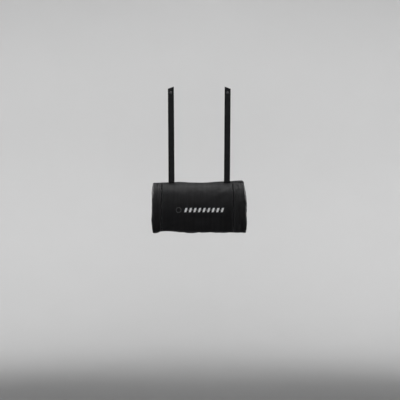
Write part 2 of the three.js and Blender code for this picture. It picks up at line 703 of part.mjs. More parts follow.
function studSocket() {
  const foot = STRAP / 2 + CLEARANCE;
  const top = foot + SOCKET_HEIGHT;
  const bore = RIVET_RADIUS + CLEARANCE;
  return turned([
    [bore, foot],
    [SOCKET_RADIUS, foot],
    [SOCKET_RADIUS, top - 0.7],
    [SOCKET_RADIUS - 0.6, top],
    [SOCKET_MOUTH, top],
    [SOCKET_MOUTH, top - SOCKET_LIP],
    [SOCKET_GROOVE, top - SOCKET_LIP],
    [SOCKET_GROOVE, foot + SOCKET_FLOOR],
    [bore, foot + SOCKET_FLOOR],
    [bore, foot],
  ]);
}

function studSpring() {
  const wire = SPRING_WIRE / 2;
  const ring = new THREE.TorusGeometry(SOCKET_MOUTH + SPRING_SETBACK + wire, wire, 6, 16);
  const middle = STRAP / 2 + CLEARANCE + SOCKET_FLOOR + SPRING_ROOM + wire;
  return ring.rotateX(Math.PI / 2).translate(0, middle, 0);
}

for (const [sideName, side] of [["left", -1], ["right", 1]]) {
  add(`strap_tail_${sideName}`, strapTail(side), WEBBING);
  add(`bartack_${sideName}`, bartack(side), BLACK_THREAD);

  const strap = new THREE.Group();
  strap.rotation.set(-STRAP_LEAN, THREE.MathUtils.degToRad(side * STRAP_SPLAY), 0);
  const lift = new THREE.Vector3(0, 0, ROOT_LIFT).applyEuler(strap.rotation);
  strap.position.copy(strapRoot(side)).add(lift);
  part.add(strap);
  add(`strap_webbing_${sideName}`, webbing(side), WEBBING, strap);

  const stud = new THREE.Group();
  stud.position.z = STRAP_LENGTH - STUD_FROM_TIP;
  strap.add(stud);
  add(`stud_cap_${sideName}`, studCap(), BLACK_METAL, stud);
  add(`stud_socket_${sideName}`, studSocket(), BLACK_METAL, stud);
  add(`stud_spring_${sideName}`, studSpring(), SPRING_STEEL, stud);
}

export default part;
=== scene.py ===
"""Looks of a lumbar support cushion: a padded D-section bolster in black leather-like cover,
with a zipped cloth back and two webbing straps. Metres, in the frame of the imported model:
+X right, -Y towards the sitter, +Z up, the origin on the flat rear face."""
import json
import math

import bmesh
import bpy
import numpy as np
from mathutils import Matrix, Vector


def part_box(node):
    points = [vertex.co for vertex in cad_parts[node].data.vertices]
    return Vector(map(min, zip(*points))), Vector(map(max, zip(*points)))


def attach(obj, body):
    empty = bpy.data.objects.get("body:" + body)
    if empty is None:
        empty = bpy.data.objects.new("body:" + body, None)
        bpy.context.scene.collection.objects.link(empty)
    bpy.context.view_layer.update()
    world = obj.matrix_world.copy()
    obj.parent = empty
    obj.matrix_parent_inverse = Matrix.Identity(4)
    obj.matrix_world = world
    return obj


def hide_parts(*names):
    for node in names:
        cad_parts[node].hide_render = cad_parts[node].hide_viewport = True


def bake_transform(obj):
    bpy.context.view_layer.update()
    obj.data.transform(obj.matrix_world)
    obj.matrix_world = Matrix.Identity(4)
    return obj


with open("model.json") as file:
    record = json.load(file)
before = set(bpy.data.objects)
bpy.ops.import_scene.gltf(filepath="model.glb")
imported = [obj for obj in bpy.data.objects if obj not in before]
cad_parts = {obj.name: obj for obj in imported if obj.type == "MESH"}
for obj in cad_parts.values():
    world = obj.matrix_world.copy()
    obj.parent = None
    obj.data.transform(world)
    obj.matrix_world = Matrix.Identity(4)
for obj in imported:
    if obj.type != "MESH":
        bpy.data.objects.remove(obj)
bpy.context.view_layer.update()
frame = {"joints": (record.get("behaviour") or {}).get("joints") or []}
MM = 0.001

# ---------------- sizes taken from the frame
REAR_LOW, REAR_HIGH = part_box("rear_panel_upper")
FRONT_LOW, FRONT_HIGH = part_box("front_panel_center")
TEETH_LOW, TEETH_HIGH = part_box("zip_teeth_upper")
LOWER_TEETH_LOW, LOWER_TEETH_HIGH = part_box("zip_teeth_lower")
JOINTS = {joint["name"]: joint for joint in frame["joints"]}
PULL_HINGE = JOINTS["pull_tab_hinge"]["pos_m"]
STRAP_X = abs(JOINTS["strap_right_bend"]["pos_m"][0])
SIDES = ((-1, "left"), (1, "right"))

HALF_WIDTH = REAR_HIGH.x
HALF_HEIGHT = REAR_HIGH.z
DEPTH = -FRONT_LOW.y
LEFT_SEAM = FRONT_LOW.x
RIGHT_SEAM = FRONT_HIGH.x
ZIP_Z = (TEETH_LOW.z + LOWER_TEETH_HIGH.z) / 2
CHAIN_HALF = TEETH_HIGH.x

# ---------------- sizes of the cover and filling
REAR_CORNER = 20 * MM  # rounding between the flat back and the top and bottom
END_CORNER = 10 * MM  # rounding of each end's rim
COVER = 1.2 * MM  # thickness
SEAM_AHEAD = 20 * MM  # of the crest, where the top and bottom seams run
SEAM_HALF_GAP = 0.12 * MM
TOPSTITCH = 3.2 * MM  # from the seam
WINDOW_HALF = 132.6 * MM  # half the length of the opening that shows the zip
WINDOW_HALF_HEIGHT = 5.2 * MM
LINER = 0.5 * MM  # thickness
LINER_DEPTH, LINER_REAR_DEPTH = 3.0 * MM, 5.0 * MM  # below the cover
FOAM_DEPTH, FOAM_REAR_DEPTH = 3.9 * MM, 5.9 * MM
GUSSET_CROWN = 1.2 * MM  # before the cloth simulation adds to it

FLAT = HALF_HEIGHT - REAR_CORNER
FRONT_REACH = DEPTH - REAR_CORNER
STRAIGHT = HALF_WIDTH - END_CORNER
RIM = STRAIGHT + END_CORNER * math.pi / 2  # where the end gusset starts, measured round the corner
GUSSET_REACH = HALF_HEIGHT - END_CORNER  # from the gusset's rim to its middle
POLE = RIM + GUSSET_REACH


# ---------------- the cushion's surface
def smooth(low, high, value):
    """0 below low, 1 above high, and a smooth step between them."""
    t = np.clip((value - low) / (high - low), 0, 1)
    return t * t * (3 - 2 * t)


def bump(value, middle, width):
    """1 at the middle, falling off smoothly on both sides."""
    return np.exp(-(((value - middle) / width) ** 2))


# A point of the cover is given by u, which runs round the D section (-1 to 1 up the flat back,
# 1 to 2 the upper rear corner, 2 to 4 down the front, 4 to 5 the lower rear corner), and by v,
# the distance from the middle along X, which turns round the end corner and on to the middle
# of the end gusset.
def section(u, inset):
    """Y and Z of the D section, moved inwards by inset."""
    u = np.where(u > 5, u - 6, u)
    turn = (u - np.floor(u)) * math.pi / 2
    corner = REAR_CORNER - inset
    angle = np.clip(u - 2, 0, 2) * math.pi / 2
    flat = u <= 1
    upper = (u > 1) & (u < 2)
    front = (u >= 2) & (u <= 4)
    y = np.where(flat, -inset, -REAR_CORNER + corner * np.where(upper, np.cos(turn), np.sin(turn)))
    corner_z = np.where(upper, FLAT + corner * np.sin(turn), -FLAT - corner * np.cos(turn))
    z = np.where(flat, u * FLAT, corner_z)
    y = np.where(front, -REAR_CORNER - (FRONT_REACH - inset) * np.sin(angle), y)
    z = np.where(front, (HALF_HEIGHT - inset) * np.cos(angle), z)
    return y, z


def end_turn(v):
    """How far the cover has turned round the end corner, and how far across the gusset it is."""
    reach = np.abs(v)
    return (np.clip((reach - STRAIGHT) / END_CORNER, 0, math.pi / 2),
            np.clip((reach - RIM) / GUSSET_REACH, 0, 1))


def plain_surface(u, v):
    """The cushion as the CAD has it: straight edges and even corners."""
    turn, share = end_turn(v)
    x = np.sign(v) * (np.minimum(np.abs(v), STRAIGHT) + END_CORNER * np.sin(turn))
    y, z = section(u, END_CORNER * (1 - np.cos(turn)))
    middle_y = -DEPTH / 2
    y = middle_y + (y - middle_y) * (1 - share)
    return np.stack([x, y, z * (1 - share)], axis=-1)


def stuffed_surface(u, v):
    """The same, pulled out of true as a stuffed and worn cushion is."""
    x, y, z = np.moveaxis(plain_surface(u, v), -1, 0)
    # the back keeps its height further up and down than the front does, so that the zip is straight
    start = 0.2 + 0.46 * smooth(-0.3 * DEPTH, 0, y)
    up = smooth(start, 1.0, z / HALF_HEIGHT)
    down = smooth(start, 1.0, -z / HALF_HEIGHT)
    ahead = smooth(-0.25 * DEPTH, -0.5 * DEPTH, y)
    # the crest sags between the straps and at the left end, and stands higher at the right
    crest = 2.3 * MM * bump(x, -68 * MM, 26 * MM) - 1.4 * MM * smooth(-112 * MM, -142 * MM, x)
    crest = crest + 3.2 * MM * smooth(10 * MM, 76 * MM, x) + 1.4 * MM * smooth(80 * MM, 124 * MM, x)
    # the bottom is drawn up at the left seam, and the corner beyond it hangs down as an ear
    lift = 3.6 * MM * smooth(-10 * MM, -119 * MM, x) * (1 - smooth(-123 * MM, -139 * MM, x))
    lift = lift - 1.2 * MM - 2.1 * MM * smooth(-146 * MM, -118 * MM, x)
    ear = -4.0 * MM * smooth(-125 * MM, -147 * MM, x)
    z = z + up * crest * (1 - 0.75 * ahead) + down * (lift + ear - 0.9 * MM * smooth(0, 90 * MM, x))
    # the right end leans: in at the top, out at the bottom
    right = smooth(70 * MM, HALF_WIDTH, x)
    lean = -5.6 * MM * smooth(5 * MM, 86 * MM, z) + 1.6 * MM * smooth(-20 * MM, -80 * MM, z)
    left = smooth(-70 * MM, -HALF_WIDTH, x)
    x = x + right * lean - left * 0.9 * MM * smooth(45 * MM, -80 * MM, z)
    # the end corners are squarer at the bottom and at the upper left than elsewhere
    turn, share = end_turn(v)
    square = 0.55 * smooth(0.35, 0.95, -z / HALF_HEIGHT)
    square = square - 0.35 * smooth(0.35, 0.95, z / HALF_HEIGHT) * (v < 0)
    z = z - square * END_CORNER * (1 - np.cos(turn)) * (1 - share)
    # the gussets are pressed out by the foam
    x = x + np.sign(v) * GUSSET_CROWN * smooth(0, 0.3, share)
    return np.stack([x, y, z], axis=-1)


def arc_table():
    """Distance along the section for each value of u."""
    us = np.linspace(-1, 5.4, 1601)
    y, z = section(us, 0)
    lengths = np.hypot(np.diff(y), np.diff(z))
    return us, np.concatenate([[0], np.cumsum(lengths)])


ARC_U, ARC_S = arc_table()
U_PER_FRONT = math.pi / 2


def arc(u):
    """Distance along the section at u."""
    return np.interp(u, ARC_U, ARC_S)


def at_arc(s):
    """u at a distance along the section."""
    return np.interp(s, ARC_S, ARC_U)


TOP_SEAM = 2 + math.asin(SEAM_AHEAD / FRONT_REACH) / U_PER_FRONT
BOTTOM_SEAM = 6 - TOP_SEAM
ZIP_U = ZIP_Z / FLAT


def ridge_noise(x, y, seed):
    """A smooth wandering value between about -1 and 1."""
    a = np.sin(x * 1.0 + 1.7 * np.sin(y * 0.6 + seed)) * np.cos(y * 0.8 + seed * 2.1)
    b = np.sin(x * 2.3 + y * 0.7 + seed * 3.3) * np.cos(y * 1.9 - x * 0.4 + seed)
    return 0.65 * a + 0.35 * b


def strip_wrinkles(s, v, from_seam, seed):
    """Upright wrinkles of a side strip, which gather at its seam and wander along their length."""
    wander = 2.4 * MM * np.sin(s / (31 * MM) + seed) + 1.3 * MM * np.sin(s / (13 * MM) + 2 * seed)
    phase = (v + wander) / (10.5 * MM) * 2 * math.pi
    strength = 0.55 + 0.45 * ridge_noise(v / (9 * MM), s / (30 * MM), seed)
    fade = smooth(0.5 * MM, 7 * MM, from_seam) * (1 - smooth(26 * MM, 40 * MM, from_seam))
    crease = np.sin(phase + seed) + 0.35 * np.sin(2.1 * phase + 3 * seed)
    return 0.8 * MM * strength * fade * crease


def fold(s, v, start, end, width, height):
    """A soft ridge from start to end, both given as (s, v), highest a third of the way along."""
    ds, dv = end[0] - start[0], end[1] - start[1]
    length = math.hypot(ds, dv)
    along = ((s - start[0]) * ds + (v - start[1]) * dv) / length
    across = ((s - start[0]) * dv - (v - start[1]) * ds) / length
    share = np.clip(along / length, -0.2, 1.2)
    envelope = smooth(-0.15, 0.3, share) * (1 - smooth(0.35, 1.15, share))
    spread = width * (0.7 + 0.8 * np.clip(share, 0, 1))
    return height * envelope * bump(across, 0, spread)


def relief(u, v):
    """Height of the cover over the stuffed surface: crowned panels, pinched seams and wrinkles."""
    s = arc(u)
    top, bottom = arc(TOP_SEAM), arc(BOTTOM_SEAM)
    on_front = (u > TOP_SEAM) & (u < BOTTOM_SEAM)
    gusset = np.abs(v) > RIM
    from_top, from_bottom = np.abs(s - top), np.abs(s - bottom)
    from_left, from_right = np.abs(v - LEFT_SEAM), np.abs(v - RIGHT_SEAM)
    from_rim = np.abs(np.abs(v) - RIM)
    height = np.zeros(np.broadcast(u, v).shape)
    # pinched seams
    from_cross = np.minimum(from_top, from_bottom)
    meeting = smooth(0, 9 * MM, from_cross)
    for distance, share in (
        (from_top, 1.0 * ~gusset),
        (from_bottom, 1.0 * ~gusset),
        (from_left, meeting * on_front),
        (from_right, meeting * on_front),
        (from_rim, 1.0),
    ):
        pinch = 1.35 * MM * bump(distance, 0, 2.1 * MM) + 0.9 * MM * np.exp(-distance / (9 * MM))
        height -= share * pinch
    # the topstitch draws a shallow line beside each upright seam
    for seam, side in ((LEFT_SEAM, 1), (RIGHT_SEAM, -1)):
        line = np.abs(v - (seam + side * TOPSTITCH))
        height -= meeting * on_front * 0.28 * MM * bump(line, 0, 0.9 * MM)
    # small puckers where the leather is gathered into the top and bottom seams
    for distance, seed in ((from_top, 0.4), (from_bottom, 2.2)):
        gather = np.sin(v / (8.5 * MM) * 2 * math.pi + 2 * np.sin(v / (37 * MM)) + seed)
        depth = np.exp(-distance / (12 * MM)) * smooth(0, 2.5 * MM, distance)
        depth = depth * (0.22 + 0.14 * bump(v, -45 * MM, 40 * MM))
        height += np.where(on_front & ~gusset, gather * depth * MM, 0)
    for beyond, from_seam, seed in ((v < LEFT_SEAM, from_left, 0.9),
                                    (v > RIGHT_SEAM, from_right, 2.7)):
        strip = on_front & beyond & ~gusset
        height += meeting * strip * strip_wrinkles(s, v, from_seam, seed)
    # folds that radiate from the drawn-up foot of the left seam
    foot = (bottom - 3 * MM, LEFT_SEAM - 2 * MM)
    for ds, dv, width, tall in (
        (-58, -14, 4.2, 1.5),
        (-44, -26, 3.6, -1.2),
        (-26, -30, 3.4, 1.5),
        (-62, 22, 5.5, 0.7),
        (-40, 34, 5.0, -0.6),
    ):
        end = (foot[0] + ds * MM, foot[1] + dv * MM)
        height += meeting * on_front * fold(s, v, foot, end, width * MM, tall * MM)
    # each strap's root draws the seam in
    for side in (-1, 1):
        draw = bump(v, side * STRAP_X, 11 * MM) * np.exp(-from_top / (6 * MM))
        height -= 0.7 * MM * draw
    # broad unevenness of the foam behind the cover
    uneven = ridge_noise(v / (42 * MM), s / (36 * MM), 1.3)
    fine = ridge_noise(v / (15 * MM), s / (17 * MM), 4.1)
    slack = smooth(0, 14 * MM, from_cross) * ~on_front
    height = height + uneven * (0.3 + 0.15 * slack) * MM + fine * (0.08 + 0.14 * slack) * MM
    return flattened(u, v, height)


def flattened(u, v, height):
    """Keeps the flat back in its plane, where it lies on a chair, and quite flat along the zip."""
    back = ((u < 1.0) | (u > 5.0)) & (np.abs(v) < RIM)
    from_zip = np.abs(arc(np.where(u > 5, u - 6, u)) - arc(ZIP_U))
    taut = smooth(17 * MM, 30 * MM, from_zip + np.maximum(np.abs(v) - 134 * MM, 0))
    return np.where(back, np.minimum(height, 0) * 0.5 * taut, height)


def facing(u, v, surface):
    """Outward unit normals of a surface at u and v."""
    du, dv = 1e-3, 0.2 * MM
    along = surface(u + du, v) - surface(u - du, v)
    across = surface(u, v + dv) - surface(u, v - dv)
    normal = np.cross(along, across)
    length = np.linalg.norm(normal, axis=-1, keepdims=True)
    return normal / np.maximum(length, 1e-12)


# ---------------- cloth simulation of the cover
SIM_CELL = 5.5 * MM
SIM_FRAMES = 20
SIM_CAP = 3.5 * MM
SIM_INSET = 1.0 * MM
# how much of the simulated movement each kind of panel takes: the front is backed with foam
FRONT_PUFF, SIDE_PUFF, GUSSET_PUFF = 0.2, 0.55, 0.55


def stretch_between(stops, cell):
    """Values about a cell apart from the first stop to the last, with every stop among them."""
    values = [stops[0]]
    for start, end in zip(stops[:-1], stops[1:]):
        count = max(1, round((end - start) / cell))
        values += [start + (end - start) * k / count for k in range(1, count + 1)]
    return np.array(values)


def grid_faces(rows, columns, offset=0, wrap=False, around=False, flip=False):
    """Faces of a grid. wrap joins the last row to the first, around the last column to the first."""
    faces = []
    for i in range(rows if wrap else rows - 1):
        here, below = offset + i * columns, offset + (i + 1) % rows * columns
        for j in range(columns if around else columns - 1):
            k = (j + 1) % columns
            face = (here + j, here + k, below + k, below + j)
            faces.append(face[::-1] if flip else face)
    return faces


SIM_S = stretch_between([arc(u) for u in (-1, ZIP_U, 1, TOP_SEAM, BOTTOM_SEAM, 5)], SIM_CELL)
SIM_V = stretch_between([-POLE + 6 * MM, -RIM, LEFT_SEAM, RIGHT_SEAM, RIM, POLE - 6 * MM], SIM_CELL)


def cover_simulation():
    """Inflates the sewn cover, held at its seams, and returns how far each grid point moved."""
    u = at_arc(SIM_S[:-1])
    grid_u, grid_v = np.meshgrid(u, SIM_V, indexing="ij")
    normals = facing(grid_u, grid_v, stuffed_surface)
    points = stuffed_surface(grid_u, grid_v) - normals * SIM_INSET
    mesh = bpy.data.meshes.new("cover_cloth")
    faces = grid_faces(*grid_u.shape, wrap=True)
    mesh.from_pydata(points.reshape(-1, 3).tolist(), [], faces)
    mesh.update()
    cloth = bpy.data.objects.new("cover_cloth", mesh)
    bpy.context.scene.collection.objects.link(cloth)
    s = arc(grid_u)
    near = 0.2 * SIM_CELL
    seam = np.abs(np.abs(grid_v) - RIM) < near
    seam |= np.abs(grid_v) > SIM_V[-1] - 0.5 * SIM_CELL
    front = (grid_u > TOP_SEAM - 1e-3) & (grid_u < BOTTOM_SEAM + 1e-3)
    for line in (TOP_SEAM, BOTTOM_SEAM, ZIP_U):
        seam |= np.abs(s - arc(line)) < near
    for line in (LEFT_SEAM, RIGHT_SEAM):
        seam |= front & (np.abs(grid_v - line) < near)
    pins = cloth.vertex_groups.new(name="sewn")
    pins.add(np.flatnonzero(seam.reshape(-1)).tolist(), 1.0, "REPLACE")
    modifier = cloth.modifiers.new("Cloth", "CLOTH")
    settings = modifier.settings
    settings.quality = 6
    settings.mass = 0.35
    settings.tension_stiffness = settings.compression_stiffness = 18
    settings.shear_stiffness = 8
    settings.bending_stiffness = 1.2
    settings.vertex_group_mass = "sewn"
    settings.shrink_min = -0.022
    settings.use_pressure = True
    settings.uniform_pressure_force = 4.0
    settings.effector_weights.gravity = 0
    settings.air_damping = 4
    scene = bpy.context.scene
    for step in range(1, SIM_FRAMES + 1):
        scene.frame_set(step)
    evaluated = cloth.evaluated_get(bpy.context.evaluated_depsgraph_get())
    moved = np.zeros(len(mesh.vertices) * 3)
    evaluated.data.vertices.foreach_get("co", moved)
    moved = moved.reshape(points.shape) - points
    scene.frame_set(1)
    bpy.data.objects.remove(cloth)
    out = np.clip(np.sum(moved * normals, axis=-1), -SIM_CAP, SIM_CAP)
    return np.concatenate([out, out[:1]], axis=0)


def cubic(values, position):
    """Weights and indices of a smooth interpolation at fractional positions."""
    base = np.clip(np.floor(position).astype(int), 0, values - 2)
    t = position - base
    weights = [
        -0.5 * t + t * t - 0.5 * t**3,
        1 - 2.5 * t * t + 1.5 * t**3,
        0.5 * t + 2 * t * t - 1.5 * t**3,
        -0.5 * t * t + 0.5 * t**3,
    ]
    return [(np.clip(base + k - 1, 0, values - 1), w) for k, w in enumerate(weights)]


SIM_HEIGHT = cover_simulation()


def puffed(u, v):
    """Height that the simulation gives the cover at u and v."""
    if SIM_HEIGHT is None:
        return 0
    row = np.interp(arc(np.where(u > 5, u - 6, u)), SIM_S, np.arange(len(SIM_S)))
    column = np.interp(v, SIM_V, np.arange(len(SIM_V)))
    height = 0
    for i, wi in cubic(len(SIM_S), row):
        for j, wj in cubic(len(SIM_V), column):
            height = height + wi * wj * SIM_HEIGHT[i, j]
    gusset = np.abs(v) > RIM
    centre = (u > TOP_SEAM) & (u < BOTTOM_SEAM) & (v > LEFT_SEAM) & (v < RIGHT_SEAM)
    height = height * np.where(gusset, GUSSET_PUFF, np.where(centre, FRONT_PUFF, SIDE_PUFF))
    return flattened(u, v, height)


def cover_point(u, v, depth=0.0):
    """A point of the finished cover, or that far below it, and the normal there."""
    u, v = np.broadcast_arrays(np.asarray(u, float), np.asarray(v, float))
    normal = facing(u, v, stuffed_surface)
    height = relief(u, v) + puffed(u, v) - depth
    return stuffed_surface(u, v) + normal * height[..., None], normal


# ---------------- making meshes
def new_piece(name, vertices, faces, slot, replaces=(), body="cushion"):
    """A mesh piece in a slot's material, that rides on a body and stands for CAD nodes."""
    mesh = bpy.data.meshes.new(name)
    mesh.from_pydata(np.asarray(vertices).reshape(-1, 3).tolist(), [], faces)
    mesh.validate()
    mesh.update()
    mesh.polygons.foreach_set("use_smooth", [True] * len(mesh.polygons))
    mesh.materials.append(MATERIALS[slot])
    piece = bpy.data.objects.new(name, mesh)
    bpy.context.scene.collection.objects.link(piece)
    if body:
        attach(piece, body)
    if replaces:
        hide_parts(*replaces)
    return piece


def tidy(piece):
    """Merges doubled points and turns every face outwards."""
    mesh = bmesh.new()
    mesh.from_mesh(piece.data)
    bmesh.ops.remove_doubles(mesh, verts=mesh.verts, dist=0.005 * MM)
    bmesh.ops.recalc_face_normals(mesh, faces=mesh.faces)
    mesh.to_mesh(piece.data)
    mesh.free()


def pairs(loop):
    """Each item of a closed loop with the next."""
    return list(zip(loop, loop[1:] + loop[:1]))


def fan(edge, centre, flip=False):
    """Triangles from a closed edge to its centre."""
    return [(b, a, centre) if flip else (a, b, centre) for a, b in pairs(edge)]


def lofted(rings, flip=False):
    """Vertices and faces of a solid through rings of points, closed at both ends."""
    rings = np.asarray(rings, float)
    rows, count = rings.shape[:2]
    last = (rows - 1) * count
    caps = [tuple(range(count))[::-1], tuple(range(last, last + count))]
    if flip:
        caps = [cap[::-1] for cap in caps]
    return rings.reshape(-1, 3), caps + grid_faces(rows, count, around=True, flip=flip)


def two_skins(outer, inner):
    """Vertices and faces of a sheet between two grids of points, closed round its edge."""
    rows, columns = outer.shape[:2]
    count = rows * columns
    last = columns - 1
    edge = list(range(columns)) + [i * columns + last for i in range(1, rows)]
    edge += [(rows - 1) * columns + j for j in range(last - 1, -1, -1)]
    edge += [i * columns for i in range(rows - 2, 0, -1)]
    faces = grid_faces(rows, columns) + grid_faces(rows, columns, count, flip=True)
    faces += [(b, a, a + count, b + count) for a, b in pairs(edge)]
    return np.concatenate([outer.reshape(-1, 3), inner.reshape(-1, 3)]), faces


def add_uv(mesh, uv):
    """UVs in metres along the cloth, given for each vertex."""
    index = np.zeros(len(mesh.loops), int)
    mesh.loops.foreach_get("vertex_index", index)
    mesh.uv_layers.new(name="cloth").data.foreach_set("uv", np.asarray(uv)[index].reshape(-1))


def add_wear(mesh, from_edge, extra=0):
    """How worn each vertex is, from 0 to 1, by its distance from a seam, on both skins."""
    wear = np.tile(bump(from_edge.reshape(-1), 3.5 * MM, 2.2 * MM), 2)
    layer = mesh.attributes.new("wear", "FLOAT", "POINT")
    layer.data.foreach_set("value", np.append(wear, np.zeros(extra)).astype(np.float32))


def panel(name, u, v, slot, replaces, thickness=COVER, depth=0.0):
    """A sewn panel over a grid of u and v."""
    outer, normal = cover_point(u, v, depth)
    piece = new_piece(name, *two_skins(outer, outer - normal * thickness), slot, replaces)
    s = arc(u)
    add_uv(piece.data, np.tile(np.stack([v, s], axis=-1).reshape(-1, 2), (2, 1)))
    add_wear(piece.data, np.minimum.reduce([
        np.abs(s - arc(TOP_SEAM)), np.abs(s - arc(BOTTOM_SEAM)),
        np.abs(v - LEFT_SEAM), np.abs(v - RIGHT_SEAM), np.abs(np.abs(v) - RIM),
    ]))
    return piece


def grid(u0, u1, v0, v1, cell, gap=SEAM_HALF_GAP):
    """A grid of u and v over a panel, finer towards its edges, and a little short of its seams."""
    def spread(start, end):
        count = max(4, int((end - start) / cell))
        t = np.linspace(0, 1, count + 1)
        t = t - 0.035 * np.sin(2 * math.pi * t)
        return start + (end - start) * t

    s, v = np.meshgrid(spread(arc(u0) + gap, arc(u1) - gap), spread(v0 + gap, v1 - gap),
                       indexing="ij")
    return at_arc(s), v


# ---------------- materials
class Nodes:
    """Short names for building a node material."""

    def __init__(self, name):
        self.material = bpy.data.materials.new(name)
        self.material.use_nodes = True
        self.tree = self.material.node_tree
        self.shader = self.tree.nodes["Principled BSDF"]

    def add(self, kind, vector=None, **settings):
        node = self.tree.nodes.new("ShaderNode" + kind)
        for key, value in settings.items():
            if key in node.inputs:
                node.inputs[key].default_value = value
            else:
                setattr(node, key, value)
        if vector is not None:
            self.link(vector, node.inputs["Vector"])
        return node

    def link(self, source, target):
        self.tree.links.new(source, target)

    def noise(self, vector, scale, detail, **settings):
        return self.add("TexNoise", vector, Scale=scale, Detail=detail, **settings).outputs["Fac"]

    def math(self, operation, a, b=0):
        node = self.add("Math", operation=operation)
        for slot_index, value in enumerate((a, b)):
            if isinstance(value, (int, float)):
                node.inputs[slot_index].default_value = value
            else:
                self.link(value, node.inputs[slot_index])
        return node.outputs[0]

    def plus(self, a, b):
        return self.math("ADD", a, b)

    def times(self, a, b):
        return self.math("MULTIPLY", a, b)

    def ramp(self, source, *stops):
        """A colour ramp with (position, grey or colour) stops."""
        node = self.add("ValToRGB")
        elements = node.color_ramp.elements
        while len(elements) < len(stops):
            elements.new(0.5)
        for element, (position, colour) in zip(elements, stops):
            element.position = position
            grey = isinstance(colour, (int, float))
            element.color = (colour, colour, colour, 1) if grey else (*colour, 1)
        self.link(source, node.inputs["Fac"])
        return node.outputs["Color"]

    def bump(self, height, distance, strength=1.0, normal=None):
        node = self.add("Bump", Distance=distance, Strength=strength)
        self.link(height, node.inputs["Height"])
        if normal is not None:
            self.link(normal, node.inputs["Normal"])
        return node.outputs["Normal"]

    def split(self, vector):
        """The X, Y and Z of a vector."""
        return self.add("SeparateXYZ", vector).outputs

    def place(self):
        """Position in the piece's own frame."""
        return self.add("TexCoord").outputs["Object"]

    def cloth(self, scale_x, scale_y, turn=0.0):
        """Position along the cloth from its UVs, in metres, times a scale each way."""
        uv = self.add("UVMap", uv_map="cloth").outputs["UV"]
        return self.add("Mapping", uv, Scale=(scale_x, scale_y, 1), Rotation=(0, 0, turn)).outputs[0]

    def wave(self, source, length):
        """A sine of a distance that repeats after a length."""
        return self.math("SINE", self.times(source, 2 * math.pi / length))

    def drive(self, **sources):
        for key, source in sources.items():
            self.link(source, self.shader.inputs[key.replace("_", " ")])

    def set(self, **values):
        for key, value in values.items():
            self.shader.inputs[key.replace("_", " ")].default_value = value


def leather(name, colour, worn_colour, roughness, shine, grain, streak, streaks, twill=False):
    """Coated leather: pebbled grain, fine pores, lighter worn edges and an uneven sheen, which runs
    in streaks down the panel where it is stretched over the foam. The same streaks are painted into
    the colour as lighter and darker bands: painted shading of the wrinkles."""
    nodes = Nodes(name)
    where = nodes.place()
    drift = nodes.add("TexNoise", where, Scale=420, Detail=3.0)
    shifted = nodes.add("VectorMath", operation="MULTIPLY_ADD")
    shifted.inputs[1].default_value = (grain * 0.9,) * 3
    nodes.link(drift.outputs["Color"], shifted.inputs[0])
    nodes.link(where, shifted.inputs[2])
    cells = nodes.add("TexVoronoi", shifted.outputs[0], feature="DISTANCE_TO_EDGE", Scale=1 / grain)
    pebbles = nodes.ramp(cells.outputs["Distance"], (0.0, 0.0), (0.10, 0.55), (0.34, 1.0))
    pores = nodes.noise(where, 2600, 2.0)
    normal = nodes.bump(nodes.plus(pebbles, nodes.times(pores, 0.35)), 0.07 * MM, 0.55)
    if twill:
        normal = twill_bump(nodes, normal)
    pulled = nodes.noise(nodes.cloth(1 / streak, 0.07 / streak), 1.0, 2.0, Roughness=0.5)
    normal = nodes.bump(pulled, 0.9 * MM, streaks * 2.2, normal)
    creases = nodes.noise(where, 95, 4.0, Roughness=0.6)
    normal = nodes.bump(creases, 0.35 * MM, 0.3, normal)
    patches = nodes.noise(where, 28, 5.0, Roughness=0.55)
    # the streaks run into the colour too, as lighter and darker bands: painted shading of the wrinkles;
    # the patches are the leather's own uneven tone
    mottle = nodes.plus(nodes.times(patches, 0.5), nodes.times(pulled, 0.5))
    dark, light = (tuple(c * share for c in colour) for share in (0.6, 1.15))
    mixed = nodes.add("Mix", data_type="RGBA")
    wear = nodes.add("Attribute", attribute_name="wear").outputs["Fac"]
    nodes.link(nodes.times(wear, patches), mixed.inputs["Factor"])
    nodes.link(nodes.ramp(mottle, (0.38, dark), (0.62, light)), mixed.inputs["A"])
    mixed.inputs["B"].default_value = (*worn_colour, 1)
    low, high = roughness
    rough = nodes.ramp(patches, (0.25, low), (0.75, high))
    rough = nodes.plus(rough, nodes.times(pebbles, -0.05))
    rough = nodes.plus(rough, nodes.ramp(pulled, (0.36, streaks), (0.64, 0.0)))
    # the foot of the cushion is duller than the rest
    depth = nodes.times(nodes.split(where)["Z"], -1 / HALF_HEIGHT)
    rough = nodes.plus(rough, nodes.ramp(depth, (0.3, 0.0), (0.9, 0.38)))
    nodes.drive(Base_Color=mixed.outputs["Result"], Roughness=rough, Normal=normal)
    nodes.set(Specular_IOR_Level=shine)
    return nodes.material


def twill_bump(nodes, normal):
    """A fine diagonal weave pressed into the coating."""
    where = nodes.cloth(1 / (2.6 * MM), 1 / (2.6 * MM), math.radians(45))
    bands = nodes.add("TexWave", where, wave_type="BANDS", bands_direction="X", Scale=0.32)
    checks = nodes.add("TexChecker", where, Scale=1.0)
    height = nodes.plus(bands.outputs["Fac"], nodes.times(checks.outputs["Fac"], 0.5))
    return nodes.bump(height, 0.10 * MM, 0.5, normal)


